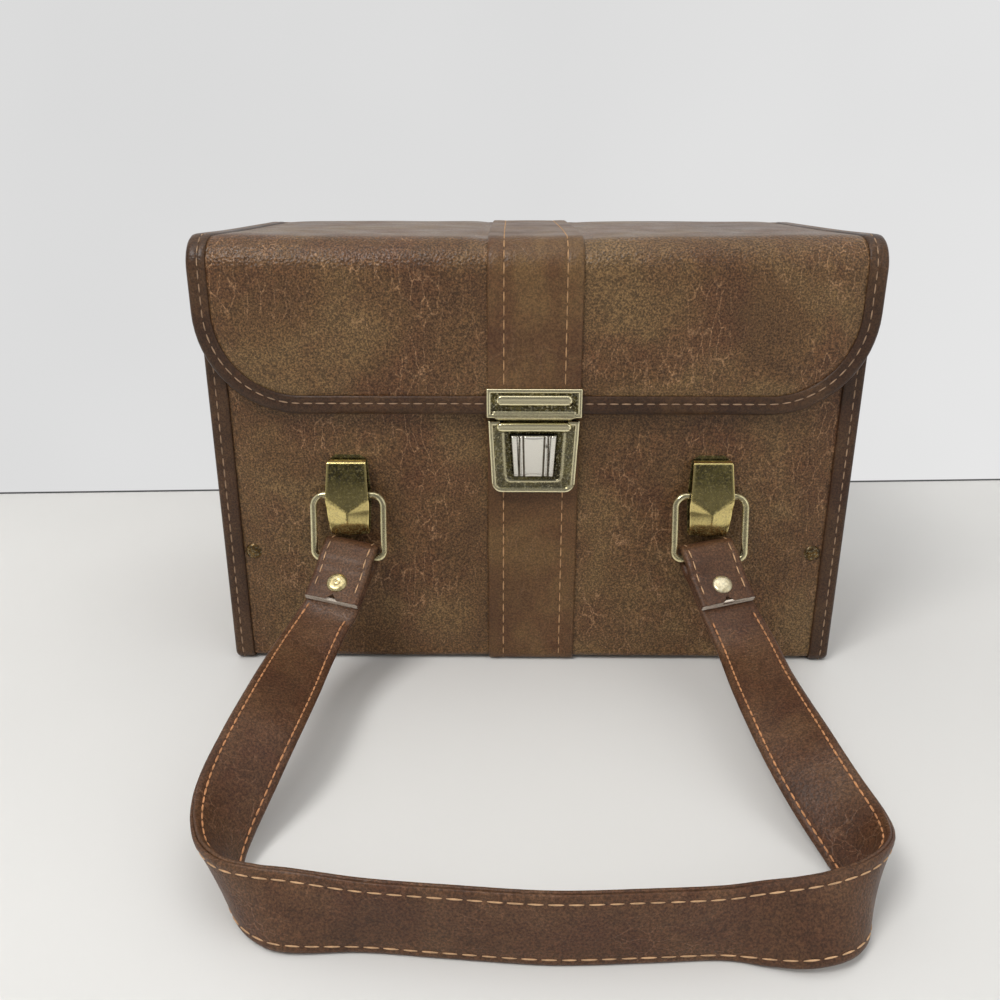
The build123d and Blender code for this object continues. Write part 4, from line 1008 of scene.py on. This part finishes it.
def lockHeight(x, z):
    edge, frameEdge = insideDistance(x, z, lockShape), insideDistance(x, z, frameShape)
    if edge < lock["rim"]:
        height = 0.6 * math.sqrt(max(1 - ((edge - 0.95) / 0.95) ** 2, 0))
    else:
        height = -0.18 * smoothStep((edge - lock["rim"]) / 0.4)
    if z < 101.6:
        height += 0.42 * bell(frameEdge, 0.32)
        height -= 0.12 * smoothStep((frameEdge - 0.4) / 0.3)
    window = max(abs(x) - halfWidthAt(z, windowShape), windowShape["bottom"] - z, z - windowShape["top"])
    height -= 0.3 * math.exp(-max(window, 0) / 0.35)
    return height


windowFoot, windowTop = windowShape["bottom"], windowShape["top"]
lockRows = sorted({z for low, high, count in (
    (lockShape["bottom"], windowFoot, 24), (windowFoot, windowTop, 52), (windowTop, lock["notchFoot"], 4),
    (lock["notchFoot"], lockShape["top"], 16)) for z in spread(low, high, count)})
lockPlaces = []
for z in lockRows:
    window = windowShape["low"] + (z - windowFoot) * 0.0683
    edge = halfWidthAt(z, lockShape)
    notch = lock["notchHalf"] if z >= lock["notchFoot"] else window + 0.6 * (edge - window)
    half = spread(0, window, 14)[1:-1] + spread(window, notch, 14)[:-1] + spread(notch, edge, 18)
    lockPlaces.append([(x, z) for x in mirrored(half)])


def lockSkip(row, column):
    z = (lockRows[row] + lockRows[row + 1]) / 2
    fromMiddle = abs(column + 0.5 - (len(lockPlaces[0]) - 1) / 2)
    return (windowFoot < z < windowTop and fromMiddle < 13) or (z > lock["notchFoot"] and fromMiddle < 26)


coverFace = sheetOf("coverFace", lockPlaces, lambda x, z: (x, lock["face"] - lockHeight(x, z), z),
                    lambda x, z: (x * 0.999, lock["face"] + 1.0, z), [darkBrass], lockSkip)


def lockCourse(inset):  # the cover's outline from one side of the notch round to the other
    top, bottom, radius = lockShape["top"], lockShape["bottom"], lockShape["corner"] - inset
    low, high = lockShape["low"], lockShape["high"]
    right = [(x, top - inset) for x in (lock["notchHalf"], 15.5, 17.4 - inset)]
    right += [(low + (high - low) * (z - bottom) / lock["rise"] - inset, z)
              for z in spread(105.2 - inset, bottom + inset + radius + 0.2, 20)]
    right += [(low - inset - radius + radius * math.cos(a), bottom + inset + radius - radius * math.sin(a))
              for a in spread(0, math.pi / 2, 10)]
    return right + [(-x, z) for x, z in reversed(right)]


wallRings = [[(xo, lock["face"] + 0.05, zo), (xo, lock["foot"], zo), (xi, lock["foot"], zi),
              (xi, lock["face"] + 0.9, zi)] for (xo, zo), (xi, zi) in zip(lockCourse(0.0), lockCourse(1.0))]
coverWall = sweep("coverWall", wallRings, [darkBrass])
barRings = []
straight = lockBar["half"] - lockBar["radius"]
barAngles = [math.pi * (k + 0.5) / 12 for k in range(24)]
for share in (1.0, 1.0, 0.97, 0.9, 0.8, 0.68, 0.54, 0.4, 0.25, 0.08):
    reach = lockBar["radius"] * share
    out = -lockBar["height"] * 0.9 if not barRings else barRise(reach, lockBar)
    barRings.append([(math.copysign(straight, math.cos(a)) + reach * math.cos(a), lockBar["base"] - out,
                      lockBar["middle"] + reach * math.sin(a)) for a in barAngles])
lockCover = joinPieces("lockCover", [coverFace, coverWall, sweep("coverBar", barRings, [darkBrass])])


def lockPolish(x, y, z):
    if barReach(x, z, lockBar) < 1.75 and y < -66.95:
        return 1.0
    edge, frameEdge = insideDistance(x, z, lockShape), insideDistance(x, z, frameShape)
    rim = smoothStep((1.8 - edge) / 0.3) * (1 - 0.5 * bell(edge - 0.95, 0.22))
    line = bell(frameEdge, 0.4) if z < 101.6 else 0
    return max(rim, line, 0.12 * smoothStep(-frameEdge / 0.3))


setPolish(lockCover, lockPolish)
dress(lockCover, "case", "brass", "lock_cover")

# Fluted press button, a thin shell over the button's body
buttonShape = {"bottom": 83.95, "top": 100.25, "low": 7.55, "high": 8.65, "corner": 0.5}
button = {"face": -68.4, "inner": -65.9, "middleHalf": 3.8}
flutes = ((4.15, 0.4, 0.42), (5.25, 0.3, 0.22), (6.2, 0.5, 0.5))  # place across, width, depth
darkLines = ((4.0, 0.28, 0.9), (5.25, 0.2, 0.5), (6.4, 0.3, 0.75))


def buttonLevel(x, z):  # place across as it would be at the button's top
    return abs(x) * buttonShape["high"] / halfWidthAt(z, dict(buttonShape, corner=0))


def buttonHeight(x, z):
    edge, level = insideDistance(x, z, buttonShape), buttonLevel(x, z)
    height = 0.12 - 0.5 * roundOff(edge, 0.7)
    for middle, width, depth in flutes:
        height -= depth * bell(level - middle, width)
    if level < button["middleHalf"]:
        height += 0.3 * (1 - (level / button["middleHalf"]) ** 2) * smoothStep(edge / 1.4)
    return height


def buttonPolish(x, y, z):
    level = buttonLevel(x, z)
    dark = max(share * bell(level - middle, width) for middle, width, share in darkLines)
    spot = math.exp(-(((x - 4.9) / 0.6) ** 2 + ((z - 96.3) / 0.9) ** 2))
    rim = 0.6 * smoothStep((0.35 - insideDistance(x, z, buttonShape)) / 0.3)
    return 1 - max(dark, spot, rim)


places = [[(t * halfWidthAt(z, buttonShape), z) for t in spread(-1, 1, 91)]
          for z in spread(buttonShape["bottom"], buttonShape["top"], 44)]
buttonCap = sheetOf("buttonCap", places, lambda x, z: (x, button["face"] - buttonHeight(x, z), z),
                    lambda x, z: (x, button["inner"], z), [nickel])
setPolish(buttonCap, buttonPolish)
dress(buttonCap, "lock", "button_metal")

# Leaf spring behind the button, built in its resting arc; the real one flattens as the button goes in
spring = {"back": -58.3, "crest": -60.35, "middle": 96.0, "reach": 5.8, "half": 1.95, "thick": 0.25}
rings = []
half, thick = spring["half"], spring["thick"]
for share in spread(-1, 1, 25):
    y = spring["back"] - 0.05 + (spring["crest"] - spring["back"]) * (1 - share * share)
    z = spring["middle"] + spring["reach"] * share
    rings.append([(-half, y, z), (half, y, z), (half, y - thick, z), (-half, y - thick, z)])
leafSpring = sweep("leafSpring", rings, [steel])
dress(leafSpring, "case", "steel", "lock_spring")
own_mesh(leafSpring)

# Hasp: rimmed plate with a bar, a rolled lip and the tongue that enters the lock
haspShape = {"bottom": 107.5, "top": 118.7, "low": 18.0, "high": 18.0, "corner": 0.25}
haspBar = {"middle": 114.2, "half": 14.3, "radius": 1.9, "height": 0.8}
haspLook = {"face": -68.9, "inner": -67.9, "lipHalf": 15.6, "lipTop": 110.2, "lipThick": 0.9}


def haspHeight(x, z):
    edge, reach = insideDistance(x, z, haspShape), barReach(x, z, haspBar)
    rim = 0.5 * smoothStep(edge / 0.35) * smoothStep((1.75 - edge) / 0.7)
    lipShare = smoothStep((haspLook["lipHalf"] - abs(x)) / 0.6) * smoothStep((haspLook["lipTop"] - z) / 0.5)
    rim = rim * (1 - lipShare) + lipShare * (0.45 * math.sqrt(max(1 - ((z - 109.3) / 2.2) ** 2, 0)))
    bar = barRise(reach, haspBar) if reach < haspBar["radius"] else 0
    ridge = 0.16 * bell(reach - 3.0, 0.3) if z > 111 else 0
    return rim + bar - 0.32 * bell(reach - 2.35, 0.4) + ridge


haspHalf = haspShape["low"]
haspGrid = gridOf(spread(haspShape["bottom"], haspShape["top"], 52), spread(-haspHalf, haspHalf, 141))
haspFace = sheetOf("haspFace", haspGrid, lambda x, z: (x, haspLook["face"] - haspHeight(x, z), z),
                   lambda x, z: (x, haspLook["inner"], z), [darkBrass])
tongueIn, tongueDown = 0.4258, 0.9049  # the way the tongue points
lipCourse = [(-69.32, 109.2, 15.3), (-69.33, 108.4, 15.2), (-69.05, 107.5, 15.0), (-68.3, 106.7, 14.4),
             (-67.2, 106.05, 13.2), (-66.4, 105.65, 12.0), (-65.75, 105.4, 11.6), (-65.36, 104.6, 11.5),
             (-64.4, 102.5, 11.5), (-63.4, 100.4, 11.3), (-62.94, 99.43, 10.9)]
lipGrid = [[(half * t, y, z) for t in spread(-1, 1, 25)] for y, z, half in lipCourse]
haspLip = sheetOf("haspLip", lipGrid, lambda x, y, z: (x, y, z), lambda x, y, z: (
    x, y + haspLook["lipThick"] * tongueDown, z + haspLook["lipThick"] * tongueIn), [darkBrass])
hasp = joinPieces("hasp", [haspFace, bevelEdges(haspLip, 0.15)])


def haspPolish(x, y, z):
    if z < 110.0 and abs(x) < 15.8:
        return 0.62
    if barReach(x, z, haspBar) < haspBar["radius"]:
        return 1.0
    edge = insideDistance(x, z, haspShape)
    return smoothStep((1.6 - edge) / 0.3) * (1 - 0.6 * bell(edge - 0.8, 0.22))


setPolish(hasp, haspPolish)
dress(hasp, "lid", "brass", "hasp_plate")

# Strap clips, each a bent strip whose front is creased to a blunt point

clipLook = {"top": 90.8, "foot": 58.6, "tip": 70.0, "tipOut": 10.5, "neck": (5.4, 88.5), "sheet": 0.9,
            "corner": 2.6, "slant": 0.42}


def clipHalf(z):
    half = 7.6 + 0.9 * (z - 60.8) / 12.2 if z < 73 else 8.5 - (z - 73) / 17.8
    radius = clipLook["corner"]
    below = radius - (clipLook["top"] - z)
    return half - (radius - math.sqrt(max(radius ** 2 - below ** 2, 0)) if below > 0 else 0)


def clipFront(x, z):  # how far the front stands out: a slope from the neck, creased to a point at the tip
    neckOut, neckHeight = clipLook["neck"]
    tip, tipOut, slant = clipLook["tip"], clipLook["tipOut"], clipLook["slant"]
    upper = neckOut + (neckHeight - z) * ((tipOut - neckOut) / (neckHeight - tip))
    if z < tip:
        fall = (tip - z) / (tip - clipLook["foot"])
        return min(upper, tipOut - slant * abs(x) * (1 - 0.4 * fall) - 4.6 * fall ** 2.1)
    return min(upper, tipOut - slant * (abs(x) - 0.5565 * (z - tip) / slant * 0.6))


def clipRows(x):
    # side view of the bent strip, from the back's top round the foot to the neck: (outer, inner) places
    top, foot, sheet = clipLook["top"], clipLook["foot"], clipLook["sheet"]
    out = clipFront(x, foot + 0.6)
    middle = (sheet + out) / 2
    rows = [((0.05, z), (sheet, z)) for z in spread(top, 64, 14)]
    rows += [((0.05, foot + 1.4), (0.95, foot + 2.1)), ((0.3, foot + 0.4), (1.25, foot + 1.3)),
             ((0.9, foot + 0.05), (1.6, foot + 1.05)), ((middle, foot), (max(middle, 1.6), foot + 0.95)),
             ((max(out - 0.5, 1.2), foot + 0.1), (max(out - 1.3, 1.65), foot + 1.0))]
    for z in spread(foot + 0.6, 88.2, 56):
        front = clipFront(x, z)
        rows.append(((front, z), (max(front - 1.0, 1.0), z + 0.1)))
    return rows + [((5.1, 88.85), (4.4, 88.1)), ((4.3, 89.15), (3.8, 88.3)), ((1.95, 89.3), (1.95, 88.4))]


def clipPolish(x, y, z):  # x from the clip's middle
    edge = smoothStep((abs(x) - clipHalf(z) + 0.65) / 0.2)
    lip = 0.8 * smoothStep((z - 88.3) / 0.5)
    fromCrease = clipLook["tip"] + 0.6 * abs(x) - z
    below = smoothStep(fromCrease / 0.6) * smoothStep((z - 62.0) / 3.5)
    ridge = 0.5 * bell(x, 0.5) * smoothStep((70 - z) / 1) * smoothStep((z - 66) / 1)
    golden = 0.32 * smoothStep((84 - z) / 8)
    glow = max(edge, lip, below * 0.62, golden) * (1 - 0.8 * bell(fromCrease, 0.45)) - ridge
    return glow if case["front"] - y > 1.5 else 0.05


def makeClip(side, middle):
    def placeOn(face):
        def placeAt(x, index):
            out, z = clipRows(x)[index][face]
            return (middle + x, case["front"] - out, z)
        return placeAt
    grid = [[(clipHalf(outer[1]) * t, index) for t in spread(-1, 1, 31)]
            for index, (outer, inner) in enumerate(clipRows(0))]
    clip = sheetOf(f"strapClip_{side}", grid, placeOn(0), placeOn(1), [clipBrass])
    clip = bevelEdges(clip, 0.22, 2, 50)
    setPolish(clip, lambda x, y, z: clipPolish(x - middle, y, z))
    dress(clip, "case", "brass", f"clip_{side}")


for side, middle in clipMiddles:
    makeClip(side, middle)

# Rings: one bent wire each
ringLook = {"width": 27.5, "high": (5.0, 75.5), "low": (10.0, 51.0), "wire": 1.42, "corners": (4.5, 2.8)}


def ringRings(middle):
    (highOut, highUp), (lowOut, lowUp) = ringLook["high"], ringLook["low"]
    drop = Vector((0, highOut - lowOut, lowUp - highUp))
    down = drop.normalized()
    facing = Vector((1, 0, 0)).cross(down)
    half, reach = ringLook["width"] / 2, drop.length
    high, low = ringLook["corners"]
    origin = Vector((middle, case["front"] - highOut, highUp))
    rings = []
    for cx, cd, radius, start in ((half - high, high, high, 0), (-half + high, high, high, 90),
                                  (-half + low, reach - low, low, 180), (half - low, reach - low, low, 270)):
        for a in spread(start, start + 90, 13):
            across, up = math.cos(math.radians(a)), math.sin(math.radians(a))
            centre = origin + Vector((cx + radius * across, 0, 0)) + down * (cd - radius * up)
            out = Vector((across, 0, 0)) + down * -up
            rings.append([tuple(centre + (out * math.cos(b) + facing * math.sin(b)) * ringLook["wire"])
                          for b in spread(0, 2 * math.pi, 21)[:-1]])
    return rings


for side, middle in clipMiddles:
    wire = sweep(f"ring_{side}Wire", ringRings(middle), [wireBrass], closed=True)
    setPolish(wire, lambda x, y, z: 0.6 + 0.3 * rough(x, y, z, 9, 5))
    dress(wire, f"ring_{side}", "brass", f"ring_{side}")


# Rivets, turned about their shanks

def lathe(name, origin, axis, profile, material, segments=36):
    axis = Vector(axis).normalized()
    side = axis.orthogonal().normalized()
    other = axis.cross(side)
    rings = [[tuple(Vector(origin) + axis * h + (side * math.cos(a) + other * math.sin(a)) * max(r, 0.02))
              for a in spread(0, 2 * math.pi, segments + 1)[:-1]] for r, h in profile]
    return sweep(name, rings, [material])


def dome(radius, height, base, rows=7):  # from the rim to the middle
    return [(radius * math.cos(a), base + height * math.sin(a)) for a in spread(0, math.pi / 2, rows)]


headTop = dome(3.4, 1.5, 0.0)[::-1]
headProfile = headTop + [(3.3, -0.1), (1.5, -0.1), (1.5, -3.5), (3.2, -3.5), (3.2, -4.2), (0, -4.2)]
heads = [lathe("boardRivet", (x, -61.1, 49.5), (0, -1, 0), headProfile, boardRivet) for x in (-113.0, 113.0)]
dress(joinPieces("boardRivets", heads), "case", "rivet_brass", "front_rivets")

# the left strap rivet has a small ring pressed in its middle
strapHeads = (
    (-1, rivetBrass, [(0, 4.0), (0.6, 4.0), (0.9, 3.86), (1.2, 4.05), (1.6, 4.12), (2.6, 4.1), (3.5, 3.85),
                      (3.9, 3.5), (4.0, 3.2)]),
    (1, paleRivet, [(0, 4.02), (2.4, 4.0), (3.2, 3.85), (3.75, 3.5), (3.8, 3.2)]))
shank = [(1.9, 3.2), (1.9, -3.2), (4.0, -3.2), (3.9, -3.6), (2.4, -4.3), (0, -4.4)]
heads = []
for sign, material, top in strapHeads:
    origin, along, upper, across = endFrame(sign)
    heads.append(lathe("strapRivet", origin + along * 13.5, upper, top + shank, material))
strapRivets = joinPieces("strapRivets", heads)
strapRivets.data.materials.append(paleRivet)
for face in strapRivets.data.polygons:
    face.material_index = 1 if face.center.x > 0 else 0
setPolish(strapRivets, lambda x, y, z: 0.2)
dress(strapRivets, "strap", "rivet_brass", "strap_rivets")
print("metal pieces made")


# Padded inside: panels with crowned faces and drawn-in sewn edges

def padPanel(name, spanU, spanV, thickness, backing, seed, place):
    def inset(u, v):
        return min(u - spanU[0], spanU[1] - u, v - spanV[0], spanV[1] - v)

    def faceAt(u, v):
        edge = inset(u, v)
        full = 1 - 0.55 * roundOff(edge, 5)
        seam = 0.22 * bell(edge - 4.0, 1.1)
        rumple = 0.06 * rough(u, v, 3, 16, seed) * min(edge / 5, 1)
        return place(u, v, thickness * (full - seam * min(3 / thickness, 1) - 0.06 + rumple))

    def backAt(u, v):
        return place(u, v, backing * min(inset(u, v) / 6, 1))

    us, vs = (spread(*span, max(int((span[1] - span[0]) / 3.0), 8)) for span in (spanU, spanV))
    return sheetOf(name, gridOf(vs, us), faceAt, backAt, [padCloth if thickness > 3 else liningCloth])


long, short, tall = (-120.2, 120.2), (-54.9, 54.9), (10.8, 162.2)
panels = [  # name, CAD node, body, finish, spans, thickness, backing, seed, place
    ("frontPadding", "front_lining", "case", "lining", long, tall, 2.5, 1.0, 0.0,
     lambda u, v, n: (u, -57.5 + n, v)),
    ("backPadding", "back_lining", "case", "lining", long, tall, 2.5, 0.0, 3.7,
     lambda u, v, n: (u, 57.5 - n, v)),
    ("endPadding_left", "end_lining_left", "case", "lining", short, tall, 2.5, 0.0, 7.4,
     lambda u, v, n: (-120.3 + n, u, v)),
    ("endPadding_right", "end_lining_right", "case", "lining", short, tall, 2.5, 0.0, 3 * 3.7,
     lambda u, v, n: (120.3 - n, u, v)),
    ("floorPadding", "bottom_pad", "case", "padding", long, (-57.4, 57.4), 6.0, 0.0, 14.8,
     lambda u, v, n: (u, v, 4.7 + n)),
    ("lidPadding", "lid_pad", "lid", "padding", (-109.2, 109.2), (11.2, 110.8), 2.4, 0.0, 19.0,
     lambda u, v, n: lidPoint(u, v, -lid["thickness"] - 0.02 - n))]
for name, node, body, slotName, spanU, spanV, thickness, backing, seed, place in panels:
    panel = padPanel(name, spanU, spanV, thickness, backing, seed, place)
    dress(panel, body, slotName, node)

# Divider: two faces over a soft core, rounded along its top
soft = {"reach": 54.9, "foot": 10.8, "shoulder": 119.6, "seam": 115.0, "x": 30, "half": 2.85, "most": 3.0}
topCourse = ((2.4, 121.3), (1.3, 122.3), (0, 122.6), (-1.3, 122.3), (-2.4, 121.3))
rings = []
for y in spread(-soft["reach"], soft["reach"], 44):
    end = 1 - 0.3 * roundOff(soft["reach"] - abs(y), 4)
    shape = []
    for side, low, high in ((1, soft["foot"], soft["shoulder"]), (-1, soft["shoulder"], soft["foot"])):
        for z in spread(low, high, 40):
            rumple = 0.25 * rough(side * 9, y, z, 18, 6)
            drawn = 0.35 * (1 - min((z - soft["foot"]) / 4, 1))
            half = soft["half"] - 0.45 * bell(z - soft["seam"], 1.2) + rumple * min((z - 10) / 10, 1) - drawn
            shape.append((soft["x"] + side * min(half * end, soft["most"]), y, z))
        if side > 0:
            shape += [(soft["x"] + x * end, y, z) for x, z in topCourse]
    rings.append(shape)
divider = sweep("dividerPadding", rings, [padCloth])
dress(divider, "case", "padding", "divider")
print("padding made")

# Finish of the CAD nodes that stay in sight
for node, material in (("lock_button", nickel), ("lock_base", steel), ("lock_backing", steel),
                       ("hasp_backing", steel), ("lock_catch", steel),
                       ("lock_rivets", rivetBrass), ("clip_rivets", rivetBrass), ("hasp_rivets", rivetBrass)):
    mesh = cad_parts[node].data
    mesh.materials.clear()
    mesh.materials.append(material)
